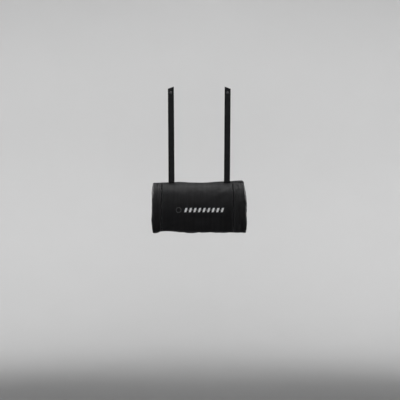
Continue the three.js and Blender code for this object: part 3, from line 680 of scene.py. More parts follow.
def woven(name, colour, light, pitch, roughness=0.9, depth=0.12 * MM, sheen=0.15):
    """Plain-weave cloth: over and under threads, fuzz and uneven dye."""
    nodes = Nodes(name)
    frequency = 2 * math.pi / pitch
    along = nodes.split(nodes.cloth(frequency, frequency))
    threads = nodes.plus(nodes.math("SINE", along["X"]), nodes.math("SINE", along["Y"]))
    weave = nodes.math("ABSOLUTE", threads)
    fuzz = nodes.noise(nodes.place(), 1900, 2.0)
    height = nodes.plus(nodes.times(weave, 0.5), nodes.times(fuzz, 0.5))
    dye = nodes.noise(nodes.place(), 45, 4.0)
    shade = nodes.plus(nodes.times(weave, 0.3), nodes.times(dye, 0.6))
    rough = nodes.ramp(fuzz, (0.3, roughness - 0.08), (0.7, min(1, roughness + 0.06)))
    nodes.drive(Base_Color=nodes.ramp(shade, (0.15, colour), (0.85, light)), Roughness=rough,
                Normal=nodes.bump(height, depth, 0.8))
    nodes.set(Sheen_Weight=sheen, Sheen_Roughness=0.5, Specular_IOR_Level=0.25)
    return nodes.material


def ribbed_webbing(name):
    """Elastic webbing: fine cross ribs between lengthwise cords, and a brushed, dusty look."""
    nodes = Nodes(name)
    along = nodes.split(nodes.cloth(1, 1))
    cross, cords = nodes.wave(along["Y"], 1.1 * MM), nodes.wave(along["X"], 0.8 * MM)
    weave = nodes.plus(nodes.times(cross, 0.6), nodes.times(cords, 0.35))
    fuzz = nodes.noise(nodes.place(), 2300, 2.0)
    height = nodes.plus(weave, nodes.times(fuzz, 0.8))
    shade = nodes.plus(nodes.times(weave, 0.25), nodes.noise(nodes.place(), 60, 4.0))
    tint = nodes.ramp(shade, (0.2, (0.0055, 0.0055, 0.0060)), (0.9, (0.013, 0.013, 0.0145)))
    nodes.drive(Base_Color=tint, Roughness=nodes.ramp(fuzz, (0.3, 0.78), (0.7, 0.95)),
                Normal=nodes.bump(height, 0.10 * MM, 0.7))
    nodes.set(Sheen_Weight=0.03, Sheen_Roughness=0.45, Specular_IOR_Level=0.2)
    return nodes.material


def thread(name, colour, light, roughness=0.55):
    """Twisted sewing thread: slanted plies and a silky sheen."""
    nodes = Nodes(name)
    where = nodes.place()
    plies = nodes.add("TexWave", where, wave_type="BANDS", bands_direction="DIAGONAL", Scale=900,
                      Distortion=1.5).outputs["Fac"]
    uneven = nodes.noise(where, 300, 2.0)
    nodes.drive(Base_Color=nodes.ramp(plies, (0.1, colour), (0.9, light)),
                Roughness=nodes.ramp(uneven, (0.3, roughness - 0.08), (0.7, roughness + 0.1)),
                Normal=nodes.bump(plies, 0.05 * MM, 0.6))
    nodes.set(Sheen_Weight=0.2, Sheen_Roughness=0.4)
    return nodes.material


def metal(name, colour, light, roughness, metallic=1.0, brushed=(1, 1, 1)):
    """Metal or its lacquer: fine scratches, worn bright spots and uneven gloss."""
    nodes = Nodes(name)
    where = nodes.place()
    scratches = nodes.noise(nodes.add("Mapping", where, Scale=brushed).outputs[0], 2600, 3.0)
    rubbed = nodes.noise(where, 520, 4.0)
    nodes.drive(Base_Color=nodes.ramp(rubbed, (0.5, colour), (0.8, light)),
                Roughness=nodes.ramp(scratches, (0.3, roughness - 0.06), (0.7, roughness + 0.1)),
                Normal=nodes.bump(scratches, 0.02 * MM, 0.4))
    nodes.set(Metallic=metallic)
    return nodes.material


def moulded_foam(name):
    """Open-cell foam, slightly yellowed."""
    nodes = Nodes(name)
    where = nodes.place()
    cells = nodes.add("TexVoronoi", where, Scale=1100, feature="F1").outputs["Distance"]
    age = nodes.noise(where, 18, 4.0)
    nodes.drive(Base_Color=nodes.ramp(age, (0.3, (0.72, 0.67, 0.50)), (0.7, (0.80, 0.77, 0.64))),
                Roughness=nodes.ramp(cells, (0.1, 0.98), (0.6, 0.85)),
                Normal=nodes.bump(cells, 0.25 * MM, 0.8))
    return nodes.material


def nonwoven_fabric(name):
    """Thin non-woven fabric with its grid of bonding dots."""
    nodes = Nodes(name)
    dots = nodes.add("TexVoronoi", nodes.cloth(1 / (1.6 * MM), 1 / (1.6 * MM)), Scale=1.0,
                     Randomness=0.1, feature="F1").outputs["Distance"]
    fibres = nodes.noise(nodes.place(), 1500, 4.0)
    height = nodes.plus(nodes.ramp(dots, (0.12, 0.0), (0.3, 1.0)), fibres)
    nodes.drive(Base_Color=nodes.ramp(fibres, (0.3, 0.72), (0.7, 0.86)),
                Roughness=nodes.ramp(fibres, (0.3, 0.8), (0.7, 0.95)),
                Normal=nodes.bump(height, 0.08 * MM, 0.7))
    return nodes.material


def studio_paper(name, colour):
    """A matte studio surface with a trace of mottling."""
    nodes = Nodes(name)
    mottle = nodes.noise(nodes.place(), 3, 3.0)
    nodes.drive(Base_Color=nodes.ramp(mottle, (0.2, colour * 0.985), (0.8, colour)))
    nodes.set(Roughness=0.95, Specular_IOR_Level=0.1)
    return nodes.material


def tone(grey, blue):
    """A grey with its blue given apart."""
    return grey, grey, blue


MATERIALS = {
    "smooth_leather": leather("smooth_leather", tone(0.0085, 0.0095), tone(0.022, 0.024),
                              (0.47, 0.56), 0.13, 1.15 * MM, 9 * MM, 0.04),
    "textured_leather": leather("textured_leather", tone(0.0080, 0.0090), tone(0.021, 0.023),
                                (0.44, 0.56), 0.18, 0.9 * MM, 4.5 * MM, 0.2, twill=True),
    "rear_cloth": woven("rear_cloth", tone(0.0065, 0.0071), tone(0.0210, 0.0226), 0.9 * MM,
                        sheen=0.02),
    "webbing": ribbed_webbing("elastic_webbing"),
    "black_thread": thread("black_thread", tone(0.006, 0.0065), tone(0.020, 0.022)),
    "white_thread": thread("white_thread", tone(0.70, 0.71), tone(0.90, 0.91), 0.5),
    "dark_thread": thread("dark_thread", tone(0.012, 0.013), tone(0.032, 0.034), 0.5),
    "zip_tape": woven("zip_tape", tone(0.006, 0.0065), tone(0.018, 0.019), 0.7 * MM, 0.85,
                      0.08 * MM),
    "zip_plastic": metal("zip_plastic", tone(0.012, 0.013), tone(0.040, 0.042), 0.30, metallic=0.0),
    "black_metal": metal("black_lacquered_metal", tone(0.052, 0.054), (0.085, 0.084, 0.083), 0.30,
                         metallic=0.8),
    "spring_steel": metal("spring_steel", tone(0.45, 0.45), tone(0.62, 0.62), 0.28,
                          brushed=(1, 6, 1)),
    "foam": moulded_foam("moulded_foam"),
    "nonwoven": nonwoven_fabric("nonwoven_fabric"),
}

# ---------------- camera, lights and stage
CAMERA_DISTANCE = 4.0
SENSOR = 36
VIEW_WIDTH = 1.3333  # of the picture at the cushion
AIM = Vector((0.0025, 0, 0.0227))
WALL_LAMPS = 8


def link(name, data):
    thing = bpy.data.objects.new(name, data)
    bpy.context.scene.collection.objects.link(thing)
    return thing


def area(name, location, target, size, power, spread):
    """A rectangular lamp that faces a target."""
    light = bpy.data.lights.new(name, "AREA")
    light.shape = "RECTANGLE"
    light.size, light.size_y = size
    light.energy = power
    light.spread = math.radians(spread)
    lamp = link(name, light)
    lamp.location = location
    lamp.rotation_euler = (Vector(target) - Vector(location)).to_track_quat("-Z", "Y").to_euler()


def studio():
    camera = link("camera", bpy.data.cameras.new("camera"))
    camera.data.sensor_width = SENSOR
    camera.data.lens = SENSOR * CAMERA_DISTANCE / VIEW_WIDTH
    camera.location = AIM + Vector((0, -CAMERA_DISTANCE, 0))
    camera.rotation_euler = (math.pi / 2, 0, 0)
    bpy.context.scene.camera = camera
    area("overhead_softbox", (0, 0.1, 1.20), (0, 0.06, 0.05), (1.5, 1.0), 5.8, 85)
    area("front_softbox", (-0.5, -3.2, 1.9), (0, 0, 0.05), (2.2, 1.2), 4, 60)
    for side, name in SIDES:
        area(f"back_softbox_{name}", (side * 2.2, 1.7, 0.9), (0, 0, 0.1), (0.9, 0.9), 3.6, 45)
    # lamps that shine outwards on the wall, so that it is pale from every side
    for step in range(WALL_LAMPS):
        turn = 2 * math.pi * step / WALL_LAMPS
        outwards = Vector((math.sin(turn), math.cos(turn), 0))
        area(f"wall_light_{step}", outwards * 3.0 + Vector((0, 0, 2.6)),
             outwards * 6 + Vector((0, 0, -0.3)), (3.0, 1.0), 39 - 3 * (1 - outwards.y), 110)
    world = bpy.data.worlds.new("studio")
    world.use_nodes = True
    background = world.node_tree.nodes["Background"]
    background.inputs["Color"].default_value = (0.87, 0.88, 0.89, 1)
    background.inputs["Strength"].default_value = 0.18
    bpy.context.scene.world = world
    bpy.context.scene.view_settings.view_transform = "Standard"
    stage_bowl()


def stage_bowl():
    """The pale floor, which curves up into a pale wall all round, well away from the cushion."""
    floor_z, radius, bend, top, around = -1.0, 6.0, 1.6, 3.2, 96
    profile = [(0.5, floor_z), (radius - bend, floor_z)]
    for turn in np.linspace(0, math.pi / 2, 13)[1:]:
        profile.append((radius - bend + bend * math.sin(turn), floor_z + bend * (1 - math.cos(turn))))
    profile.append((radius, top))
    count = len(profile)
    vertices = [(r * math.cos(a), r * math.sin(a), z)
                for a in np.linspace(0, 2 * math.pi, around + 1)[:-1] for r, z in profile]
    faces = fan([k * count for k in range(around)], len(vertices))
    faces += grid_faces(around, count, wrap=True)
    mesh = bpy.data.meshes.new("studio_bowl")
    mesh.from_pydata(vertices + [(0, 0, floor_z)], [], faces)
    mesh.polygons.foreach_set("use_smooth", [True] * len(mesh.polygons))
    mesh.materials.append(studio_paper("studio_paper", 0.62))
    link("studio_bowl", mesh)


# ---------------- cover, liner and foam
CELL = 2.4 * MM
STRIP_CELL = 1.6 * MM


def between(near, far, count):
    """Rows of values from near to far."""
    share = np.linspace(0, 1, count)[:, None]
    return near * (1 - share) + far * share


def rear_grid(upper):
    """Grid of a rear panel. Its edge by the zip steps back from the chain, to leave the window."""
    past = WINDOW_HALF + 0.5 * MM
    v = stretch_between([-RIM + SEAM_HALF_GAP, -past, -WINDOW_HALF, WINDOW_HALF, past,
                         RIM - SEAM_HALF_GAP], CELL)
    away = np.where(np.abs(v) < WINDOW_HALF + 0.1 * MM, WINDOW_HALF_HEIGHT, SEAM_HALF_GAP)
    if upper:
        near, far = arc(ZIP_U) + away, arc(TOP_SEAM) - SEAM_HALF_GAP
    else:
        near, far = arc(6 + ZIP_U) - away, arc(BOTTOM_SEAM) + SEAM_HALF_GAP
    s = between(near, far, int(abs(far - near[0]) / CELL) + 1)
    if not upper:
        s = s[::-1]
    return at_arc(s), np.broadcast_to(v, s.shape)


def make_cover():
    for name, start, end, cell, slot, node in (
        ("front_panel", LEFT_SEAM, RIGHT_SEAM, CELL, "smooth_leather", "front_panel_center"),
        ("side_strip_left", -RIM, LEFT_SEAM, STRIP_CELL, "textured_leather", "front_panel_left"),
        ("side_strip_right", RIGHT_SEAM, RIM, STRIP_CELL, "textured_leather", "front_panel_right"),
    ):
        panel(name, *grid(TOP_SEAM, BOTTOM_SEAM, start, end, cell), slot, [node])
    for name in ("upper", "lower"):
        panel(f"rear_cloth_{name}", *rear_grid(name == "upper"), "rear_cloth", [f"rear_panel_{name}"])
    for side, name in SIDES:
        gusset(side, name)


def gusset(side, name):
    """The D-shaped end of the cover: rings that close on a point at its middle."""
    s_values = np.linspace(arc(-1), arc(5), 181)[:-1]
    reach = np.linspace(RIM + SEAM_HALF_GAP, POLE - 0.5 * MM, 34)
    s, v = np.meshgrid(s_values, side * reach, indexing="ij")
    outer, normal = cover_point(at_arc(s), v)
    rows, columns = s.shape
    count = rows * columns
    left = side < 0
    faces = grid_faces(rows, columns, wrap=True, flip=left)
    faces += grid_faces(rows, columns, count, wrap=True, flip=not left)
    rim = [i * columns for i in range(rows)]
    for a, b in pairs(rim):
        face = (a, b, b + count, a + count)
        faces.append(face[::-1] if left else face)
    faces += fan([i + columns - 1 for i in rim], 2 * count, flip=not left)
    faces += fan([i + columns - 1 + count for i in rim], 2 * count + 1, flip=left)
    centre = outer[:, -1].mean(axis=0)
    vertices = np.concatenate([outer.reshape(-1, 3), (outer - normal * COVER).reshape(-1, 3),
                               [centre], [centre - [side * COVER, 0, 0]]])
    piece = new_piece(f"end_gusset_{name}", vertices, faces, "textured_leather", [f"end_panel_{name}"])
    add_uv(piece.data, [(p.co.y, p.co.z) for p in piece.data.vertices])
    add_wear(piece.data, np.abs(np.abs(v) - RIM), extra=2)


def under_depth(u, general, rear):
    """A depth below the cover that is greater behind the flat back, where the zip needs room."""
    behind = 1 - smooth(1.0, 1.8, np.where(u > 4, 6 - u, u))
    return general + (rear - general) * behind


def make_filling():
    s, v = np.meshgrid(np.linspace(arc(-1), arc(5), 141)[:-1],
                       np.linspace(-POLE + 1 * MM, POLE - 1 * MM, 130), indexing="ij")
    u = at_arc(s)
    points, _ = cover_point(u, v, under_depth(u, FOAM_DEPTH + COVER, FOAM_REAR_DEPTH))
    rows, columns = u.shape
    low_end = [i * columns for i in range(rows)]
    faces = grid_faces(rows, columns, wrap=True) + fan(low_end, rows * columns)
    faces += fan([i + columns - 1 for i in low_end], rows * columns + 1, flip=True)
    ends = [points[:, 0].mean(axis=0), points[:, -1].mean(axis=0)]
    vertices = np.concatenate([points.reshape(-1, 3), ends])
    foam = new_piece("foam_block", vertices, faces, "foam", ["foam_core"])
    v = stretch_between([-POLE + 2 * MM, -RIM, RIM, POLE - 2 * MM], 4 * MM)
    half_mouth = 0.2 * MM
    start = np.full_like(v, arc(ZIP_U) + half_mouth)
    u = at_arc(between(start, arc(5) + arc(ZIP_U) - arc(-1) - half_mouth, 120))
    panel("liner_bag", u, np.broadcast_to(v, u.shape), "nonwoven", ["inner_liner"], thickness=LINER,
          depth=under_depth(u, LINER_DEPTH + 0.6 * MM, LINER_REAR_DEPTH))


# ---------------- threads
def tube(path, normals, radius, sides=6, flatten=1.0, closed=False):
    """Vertices and faces of a tube along a path, its section squashed towards the surface."""
    path = np.asarray(path, float)
    around = np.roll(path, -1, axis=0) - np.roll(path, 1, axis=0)
    tangent = around if closed else np.gradient(path, axis=0)
    tangent /= np.linalg.norm(tangent, axis=1, keepdims=True)
    up = np.broadcast_to(np.asarray(normals, float), path.shape)
    up = up - np.sum(up * tangent, axis=1, keepdims=True) * tangent
    up /= np.linalg.norm(up, axis=1, keepdims=True)
    side = np.cross(tangent, up)
    a = 2 * math.pi * np.arange(sides)[:, None] / sides
    rings = path[:, None] + radius * (np.cos(a) * side[:, None] + flatten * np.sin(a) * up[:, None])
    if closed:
        return rings.reshape(-1, 3), grid_faces(len(path), sides, wrap=True, around=True)
    return lofted(rings)


def gather(parts):
    """Several (vertices, faces) in one."""
    vertices, faces = [], []
    for part_vertices, part_faces in parts:
        start = len(vertices)
        vertices += list(part_vertices)
        faces += [tuple(start + i for i in face) for face in part_faces]
    return vertices, faces


def stitch_run(path, normals, length=3.4 * MM, gap=0.7 * MM, radius=0.34 * MM):
    """Separate stitches along a dense path: each rises out of its hole and dives into the next."""
    steps = np.linalg.norm(np.diff(path, axis=0), axis=1)
    distance = np.concatenate([[0], np.cumsum(steps)])
    lift = radius * np.array([-1.5, -0.1, 0.55, 0.7, 0.55, -0.1, -1.5])
    parts = []
    start = gap
    while start + length < distance[-1]:
        at = start + length * np.array([0, 0.12, 0.3, 0.5, 0.7, 0.88, 1.0])
        points, ups = (np.stack([np.interp(at, distance, values[:, k]) for k in range(3)], axis=1)
                       for values in (path, normals))
        parts.append(tube(points + ups * lift[:, None], ups, radius, 6, 0.85))
        start += length + gap
    return gather(parts)


def make_stitching():
    down = at_arc(np.linspace(arc(TOP_SEAM) + 1.5 * MM, arc(BOTTOM_SEAM) - 1.5 * MM, 500))
    for name, seam, side in (("left", LEFT_SEAM, 1), ("right", RIGHT_SEAM, -1)):
        rows = [stitch_run(*cover_point(down, seam + side * beside))
                for beside in (TOPSTITCH, -TOPSTITCH)]
        new_piece(f"topstitching_{name}", *gather(rows), "black_thread", [f"topstitch_{name}"])
    across = np.linspace(-WINDOW_HALF - 1 * MM, WINDOW_HALF + 1 * MM, 500)
    zip_rows = []
    for side in (-1, 1):
        s = arc(ZIP_U) + side * (WINDOW_HALF_HEIGHT + 2.6 * MM)
        zip_rows.append(stitch_run(*cover_point(at_arc(s), across)))
        down = arc(ZIP_U) + np.linspace(-1, 1, 60) * (WINDOW_HALF_HEIGHT + 1.6 * MM)
        end = cover_point(at_arc(down), side * (WINDOW_HALF + 2.6 * MM))
        zip_rows.append(stitch_run(*end, length=2.6 * MM))
    new_piece("zip_topstitching", *gather(zip_rows), "black_thread")
    zigzag = 1.3 * MM * np.tile([-1, 1], 21)[:41]
    for side, name in SIDES:
        points, normals = cover_point(at_arc(arc(TOP_SEAM) - 8.2 * MM + zigzag),
                                      side * STRAP_X + np.linspace(-8 * MM, 8 * MM, 41))
        bar = tube(points + normals * 0.25 * MM, normals, 0.32 * MM, 6, 0.8)
        new_piece(f"bartack_stitches_{name}", *bar, "black_thread", [f"bartack_{name}"])


# ---------------- embroidery
MOTIF_BARS = 9
BAR_WIDTH = 7 * MM
BAR_SLANT = 4 * MM
BAR_THREAD_PITCH = 0.36 * MM
RING_WIDTH = 3 * MM
RING_THREADS = 140


def satin_stitch(a, b, radius, lift):
    """One embroidery thread laid on the front from a to b, both (x, z), arched over the leather."""
    t = np.array([0, 0.1, 0.3, 0.5, 0.7, 0.9, 1.0])
    x = a[0] + (b[0] - a[0]) * t
    z = a[1] + (b[1] - a[1]) * t
    points, normals = cover_point(2 + np.arccos(np.clip(z / HALF_HEIGHT, -1, 1)) / U_PER_FRONT, x)
    arch = lift * np.array([-0.6, 0.45, 0.95, 1.0, 0.95, 0.45, -0.6])
    return tube(points + normals * arch[:, None], normals, radius, 5, 0.8)


def make_embroidery():
    low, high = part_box("stitched_motif")
    reach = high.x - low.x - BAR_WIDTH - BAR_SLANT
    first = low.x + (BAR_WIDTH + BAR_SLANT) / 2
    middles = [first + reach * bar / (MOTIF_BARS - 1) for bar in range(MOTIF_BARS)]
    half = BAR_WIDTH / 2
    threads = []
    rows = int((high.z - low.z) / BAR_THREAD_PITCH)
    for bar, middle in enumerate(middles):
        for k in range(rows + 1):
            t = k / rows
            z = low.z + (high.z - low.z) * t
            ragged = 0.18 * MM * math.sin(12.9 * k + 7.1 * bar)
            x = middle + (t - 0.5) * BAR_SLANT + ragged
            threads.append(satin_stitch((x - half, z - 0.25 * MM), (x + half, z + 0.25 * MM),
                                        0.24 * MM, 0.42 * MM))
    middle_z = (low.z + high.z) / 2
    for here, there in zip(middles, middles[1:]):
        threads.append(satin_stitch((here + half - 0.5 * MM, middle_z),
                                    (there - half + 0.5 * MM, middle_z), 0.3 * MM, 0.3 * MM))
    new_piece("embroidered_bars", *gather(threads), "white_thread", ["stitched_motif"])
    low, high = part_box("stitched_emblem")
    centre = np.array([low.x + high.x, low.z + high.z]) / 2
    outer = (high.x - low.x) / 2
    ring = []
    for a in 2 * math.pi * np.arange(RING_THREADS) / RING_THREADS:
        b = a + 0.05
        ring.append(satin_stitch(centre + (outer - RING_WIDTH) * np.array([math.cos(a), math.sin(a)]),
                                 centre + outer * np.array([math.cos(b), math.sin(b)]),
                                 0.24 * MM, 0.4 * MM))
    new_piece("embroidered_ring", *gather(ring), "dark_thread", ["stitched_emblem"])


# ---------------- straps
STRAP_HALF = 10 * MM
STRAP = 1.2 * MM
STRAP_LENGTH = 318 * MM
STRAP_LEAN = 35 * MM  # how far a strap's top leans back
SPLAY = math.radians(0.55)
TIP_RISE = STRAP_HALF * math.tan(math.radians(20))
TIP_REACH = 30 * MM
STUD_FROM_TIP = 17 * MM
WEBBING_CELLS = 48


def strap_axes(side, name):
    """Origin and axes of a strap: along its width, out of its back and up its length."""
    root = np.array(JOINTS[f"strap_{name}_bend"]["pos_m"])
    lean = math.asin(STRAP_LEAN / STRAP_LENGTH)

    def leaned(x, z):
        return np.array([x, z * math.sin(lean), z * math.cos(lean)])

    width = leaned(math.cos(side * SPLAY), -math.sin(side * SPLAY))
    length = leaned(math.sin(side * SPLAY), math.cos(side * SPLAY))
    return root, width, np.cross(length, width), length


def webbing_section():
    """Half the outline of the webbing across its width: ribs on its face and rounded edges."""
    across = np.linspace(-1, 1, WEBBING_CELLS + 1)
    edge = np.sqrt(np.clip(1 - np.abs(across) ** 14, 0, 1))
    ribs = 0.07 * MM * np.cos(across * STRAP_HALF / (1.45 * MM) * 2 * math.pi)
    return across * STRAP_HALF, edge * (STRAP / 2 - 0.07 * MM + ribs)


def make_strap(side, name):
    root, width, back, length = strap_axes(side, name)
    across, half = webbing_section()
    across = across * side
    steps = np.concatenate([np.linspace(-9 * MM, 0, 7)[:-1], np.linspace(0, STRAP_LENGTH, 150)])
    rows = []
    for s in steps:
        tip = np.clip((s - (STRAP_LENGTH - TIP_REACH)) / TIP_REACH, 0, 1)
        rise = -side * across / STRAP_HALF * TIP_RISE * tip
        # the webbing is not quite flat: it curls a little across and waves along its length
        wave = 0.35 * MM * math.sin(s / (46 * MM) + side) * smooth(8 * MM, 40 * MM, s)
        curl = 0.25 * MM * (across / STRAP_HALF) ** 2 * smooth(10 * MM, 60 * MM, s)
        # inside the seam it turns back under the cover
        bend = 4.5 * MM * (1 - math.exp(min(s, 0) / (3 * MM)))
        centre = root + length * s + back * wave + np.array([0, bend, 0])
        face = centre + width * across[:, None] + length * rise[:, None]
        front = face - back * (half - curl)[:, None]
        rear = face + back * (half + curl)[:, None]
        rows.append(np.concatenate([front, rear[-2:0:-1]]))
    ring = len(rows[0])
    faces = grid_faces(len(rows), ring, around=True, flip=side < 0)
    for k, flip in ((0, side > 0), (len(rows) - 1, side < 0)):
        for m in range(WEBBING_CELLS):
            c = ring - m - 1 if m + 1 < WEBBING_CELLS else WEBBING_CELLS
            face = tuple(dict.fromkeys(k * ring + i for i in (m, m + 1, c, (ring - m) % ring)))
            faces.append(face[::-1] if flip else face)
    strap = new_piece(f"webbing_strap_{name}", np.concatenate(rows), faces, "webbing",
                      [f"strap_webbing_{name}", f"strap_tail_{name}"], body=None)
    section_at = np.concatenate([across, across[-2:0:-1]])
    add_uv(strap.data, [(x, s) for s in steps for x in section_at])
    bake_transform(strap)
    make_stud(name, root + length * (STRAP_LENGTH - STUD_FROM_TIP), width, back)


def turned_piece(name, profile, origin, width, back, slot, replaces, body, closed, segments=48):
    """A lathe piece round an axis along back. profile is (radius, distance) in millimetres."""
    up = np.cross(back, width)
    vertices, faces = [], []
    count = len(profile)
    for k in range(segments):
        a = 2 * math.pi * k / segments
        radial = math.cos(a) * width + math.sin(a) * up
        vertices += [origin + (radius * radial + along * back) * MM for radius, along in profile]
        a, b = k * count, (k + 1) % segments * count
        for m in range(count if closed else count - 1):
            n = (m + 1) % count
            faces.append((a + m, b + m, b + n, a + n))
    tidy(new_piece(name, vertices, faces, slot, replaces, body))


def make_stud(name, origin, width, back):
    """The cap, socket and spring of a press stud through the webbing. Profiles in millimetres."""
    half_strap = STRAP / 2 / MM
    face, dome = -(half_strap + 0.15), 1.5
    cap = [(0, face - dome), (1.6, face - dome * 0.97), (3.0, face - dome * 0.84),
           (4.1, face - dome * 0.55), (4.75, face - dome * 0.22), (4.9, face + 0.1),
           (4.5, face + 0.2), (1.3, face + 0.2), (1.3, 1.9), (1.9, 2.05), (1.5, 2.4), (0, 2.45)]
    foot, top = half_strap + 0.25, half_strap + 2.5
    socket = [(1.6, foot), (4.8, foot), (5.0, foot + 0.3), (4.95, top - 0.8), (4.6, top - 0.25),
              (4.1, top), (2.6, top), (2.3, top - 0.15), (2.35, top - 0.42), (3.4, top - 0.45),
              (3.4, foot + 0.8), (1.6, foot + 0.8)]
    ring = [(2.75 + 0.3 * math.cos(a), foot + 1.3 + 0.3 * math.sin(a))
            for a in np.linspace(0, 2 * math.pi, 13)[:-1]]
    for part, profile, slot, closed in (("cap", cap, "black_metal", False),
                                        ("socket", socket, "black_metal", True),
                                        ("spring", ring, "spring_steel", True)):
        turned_piece(f"press_stud_{part}_{name}", profile, origin, width, back, slot,
                     [f"stud_{part}_{name}"], f"strap_{name}", closed)


# ---------------- zip
TOOTH_PITCH = 3.2 * MM


def block(low, high, radius=0.25 * MM):
    """A box with rounded edges, as vertices and faces."""
    low, high = np.array(low, float), np.array(high, float)
    radius = min(radius, 0.45 * float(np.min(high - low)))
    rise, inset = 0.42 * radius, 0.28 * radius
    turns = np.arange(4) * math.pi / 6
    rings = []
    for z, shrink in ((low[2], radius), (low[2] + rise, inset), (low[2] + radius, 0),
                      (high[2] - radius, 0), (high[2] - rise, inset), (high[2], radius)):
        reach = radius - shrink if shrink < radius else 0.15 * radius
        ring = []
        for sx, sy, quarter in ((1, 1, 0), (-1, 1, 1), (-1, -1, 2), (1, -1, 3)):
            x = (high[0] if sx > 0 else low[0]) - sx * radius
            y = (high[1] if sy > 0 else low[1]) - sy * radius
            ring += [[x + reach * math.cos(a), y + reach * math.sin(a), z]
                     for a in quarter * math.pi / 2 + turns]
        rings.append(ring)
    return lofted(rings)


def outline_plate(outline, low, high, bevel):
    """A flat plate of an outline in X and Z between two depths, its rim rounded over."""
    outline = np.array(outline, float)
    away = outline - outline.mean(axis=0)
    away /= np.linalg.norm(away, axis=1, keepdims=True)
    rings = []
    for y, inset in ((low, bevel), (low + 0.3 * bevel, 0.3 * bevel), (low + bevel, 0),
                     (high - bevel, 0), (high - 0.3 * bevel, 0.3 * bevel), (high, bevel)):
        ring = outline - away * inset
        rings.append(np.stack([ring[:, 0], np.full(len(ring), y), ring[:, 1]], axis=1))
    return lofted(rings, flip=True)


def mirrored(points, shared=0):
    """An outline through points above the zip's line and, but for the shared last ones, below it."""
    return points + [(x, 2 * ZIP_Z - z) for x, z in reversed(points[:len(points) - shared])]


def make_coil(name, side, shift):
    """One coil of the chain on its cord. Its turns stand between those of the other coil."""
    top, bottom = TEETH_HIGH.y, TEETH_LOW.y
    middle = (top + bottom) / 2
    tip, heel = ZIP_Z - side * 0.35 * MM, ZIP_Z + side * 2.7 * MM
    # one turn of the coil: out over the top to the head, and back underneath
    turn = np.linspace(0.12, 0.88, 9) * 2 * math.pi
    y = middle + (top - bottom) / 2 * 0.78 * np.sin(turn)
    z = (tip + heel) / 2 + (heel - tip) / 2 * np.cos(turn)
    normals = np.stack([np.zeros(9), np.sin(turn) + 1e-3, side * np.cos(turn)], axis=1)
    parts = []
    for k in range(int((2 * CHAIN_HALF - 2 * MM) / (TOOTH_PITCH / 2)) + 1):
        x = -CHAIN_HALF + 1 * MM + (k + shift) * TOOTH_PITCH / 2
        if x <= CHAIN_HALF - 0.6 * MM:
            path = np.stack([x + 0.55 * MM * (turn / (2 * math.pi) - 0.5), y, z], axis=1)
            parts.append(tube(path, normals, 0.33 * MM, 6))
    cord = [(x, middle, ZIP_Z + side * 2.55 * MM) for x in np.linspace(-CHAIN_HALF, CHAIN_HALF, 120)]
    parts.append(tube(cord, (0, 1, 0), 0.62 * MM, 8))
    new_piece(f"zip_coil_{name}", *gather(parts), "zip_plastic", [f"zip_teeth_{name}"])


def make_zip():
    """Coil teeth on their cords, crimped stops, tapes, slider and pull tab."""
    make_coil("upper", 1, 0.0)
    make_coil("lower", -1, 0.5)
    for node in ("zip_top_stop", "zip_bottom_stop"):
        low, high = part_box(node)
        third = (high.x - low.x) / 3
        parts = [block(low, high, 0.5 * MM)]
        for k in range(2):
            x = low.x + third * (k + 0.75)
            parts.append(block((x, low.y - 0.1 * MM, low.z + 0.6 * MM),
                               (x + third * 0.5, high.y + 0.18 * MM, high.z - 0.6 * MM), 0.12 * MM))
        new_piece(f"crimped_{node[4:]}", *gather(parts), "black_metal", [node])
    for side, name in ((1, "upper"), (-1, "lower")):
        tape(side, name)
    make_slider()
    make_pull_tab()


def tape(side, name):
    """A woven tape, thicker along its two selvedges, whose inner edge runs under the coil."""
    low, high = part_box(f"zip_tape_{name}")
    x = np.linspace(low.x, high.x, 281)
    met = smooth(CHAIN_HALF + 0.8 * MM, CHAIN_HALF + 2.4 * MM, np.abs(x))
    edges = [ZIP_Z + side * (0.5 - 0.44 * met) * MM, np.full_like(x, high.z if side > 0 else low.z)]
    inner, outer = edges[::side]
    share = np.linspace(0, 1, 31)
    z = inner[:, None] * (1 - share) + outer[:, None] * share
    half = (high.y - low.y) / 2 * (0.72 + 0.28 * (bump(share, 0.05, 0.05) + bump(share, 0.95, 0.05)))
    middle = (low.y + high.y) / 2
    under, top = (np.stack(np.broadcast_arrays(x[:, None], y, z), axis=-1)
                  for y in (middle - half, middle + half))
    piece = new_piece(f"zip_tape_ribbon_{name}", *two_skins(under, top), "zip_tape",
                      [f"zip_tape_{name}"])
    tidy(piece)
    add_uv(piece.data, [(p.co.x, p.co.z) for p in piece.data.vertices])


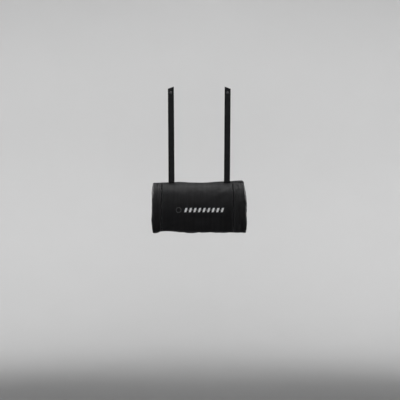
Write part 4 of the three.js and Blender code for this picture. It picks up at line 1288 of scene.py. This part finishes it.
def make_slider():
    """Two shaped plates, broad at the mouth, joined by the post, with turned-in edges and a bail."""
    low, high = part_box("zip_slider")
    start, end = low.x, high.x
    half = (high.z - low.z) / 2
    plate_top = 0.6 * MM
    teeth_top, teeth_bottom = TEETH_HIGH.y, TEETH_LOW.y
    edge = [(start, 0.74), (start + 1.0 * MM, 0.84), (start + 5.0 * MM, 0.90), (end - 4.2 * MM, 1.0),
            (end - 1.6 * MM, 0.98), (end - 0.3 * MM, 0.78), (end, 0.4)]
    outline = mirrored([(x, ZIP_Z + half * share) for x, share in edge])
    parts = [
        outline_plate(outline, teeth_top + 0.3 * MM, plate_top, 0.3 * MM),
        outline_plate(outline, low.y, teeth_bottom - 0.3 * MM, 0.3 * MM),
        block((end - 4 * MM, teeth_bottom - 0.6 * MM, ZIP_Z - 0.35 * MM),
              (end - 1 * MM, teeth_top + 0.6 * MM, ZIP_Z + 0.35 * MM), 0.2 * MM),
    ]
    for side in (-1, 1):
        near, far = sorted((ZIP_Z + side * half * 0.86, ZIP_Z + side * half * 0.98))
        for under, over in ((-1.2 * MM, plate_top - 0.4 * MM), (low.y + 0.4 * MM, -2.5 * MM)):
            parts.append(block((start + 4 * MM, under, near), (end - 2.4 * MM, over, far), 0.2 * MM))
    angle = np.linspace(0, math.pi, 17)
    bail_x = PULL_HINGE[0] + 2.9 * MM * np.cos(angle) * (1 + 0.08 * np.sin(2 * angle) ** 2)
    bail_foot = plate_top - 0.4 * MM
    bail_y = bail_foot + (high.y - 0.5 * MM - bail_foot) * np.sin(angle) ** 0.55
    path = np.stack([bail_x, bail_y, np.full(17, ZIP_Z)], axis=1)
    parts.append(tube(path, (0, 0, 1), 0.5 * MM, 8, 1.55))
    new_piece("zip_slider_body", *gather(parts), "black_metal", ["zip_slider"], "zip_slider")


def make_pull_tab():
    """A tapered tab with an eye, a rounded rim and pressed grip ribs."""
    hinge_x, middle_y = PULL_HINGE[:2]
    low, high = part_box("zip_pull_tab")
    half = (high.z - low.z) / 2
    scale = (hinge_x - low.x) / 24
    # rim: a rounded bar that runs right round the tab's outline
    key = [(0.0, 0.62), (0.0, 0.80), (2.5, 0.92), (4.5, 0.93), (9.0, 0.86), (15.0, 0.84),
           (19.5, 0.86), (22.0, 0.74), (23.3, 0.45), (23.6, 0.0)]
    upper = [(hinge_x - distance * scale, ZIP_Z + share * half) for distance, share in key]
    outline = smooth_loop(mirrored(upper, 1), 2)
    parts = [tube([(x, middle_y, z) for x, z in outline], (0, 1, 0), 0.5 * MM, 8, closed=True)]
    plate_start = hinge_x - 4.6 * MM
    inner = [(plate_start, ZIP_Z + 0.86 * half)]
    inner += [(x, z) for x, z in upper if x < plate_start - 0.5 * MM]
    parts.append(outline_plate(mirrored(inner, 1), middle_y - 0.32 * MM, middle_y + 0.32 * MM, 0.1 * MM))
    for k in range(5):
        x = hinge_x - (10.5 + 2.1 * k) * MM
        parts.append(block((x - 0.4 * MM, middle_y - 0.46 * MM, ZIP_Z - 0.58 * half),
                           (x + 0.4 * MM, middle_y + 0.46 * MM, ZIP_Z + 0.58 * half), 0.2 * MM))
    new_piece("zip_pull", *gather(parts), "black_metal", ["zip_pull_tab"], "zip_pull")


def smooth_loop(points, rounds):
    """Cuts the corners of a closed outline, a few times over."""
    for _ in range(rounds):
        points = [(share * ax + (1 - share) * bx, share * az + (1 - share) * bz)
                  for (ax, az), (bx, bz) in pairs(points) for share in (0.75, 0.25)]
    return points


# ---------------- build
studio()
make_cover()
make_filling()
make_stitching()
make_embroidery()
for strap_side, strap_name in SIDES:
    make_strap(strap_side, strap_name)
make_zip()
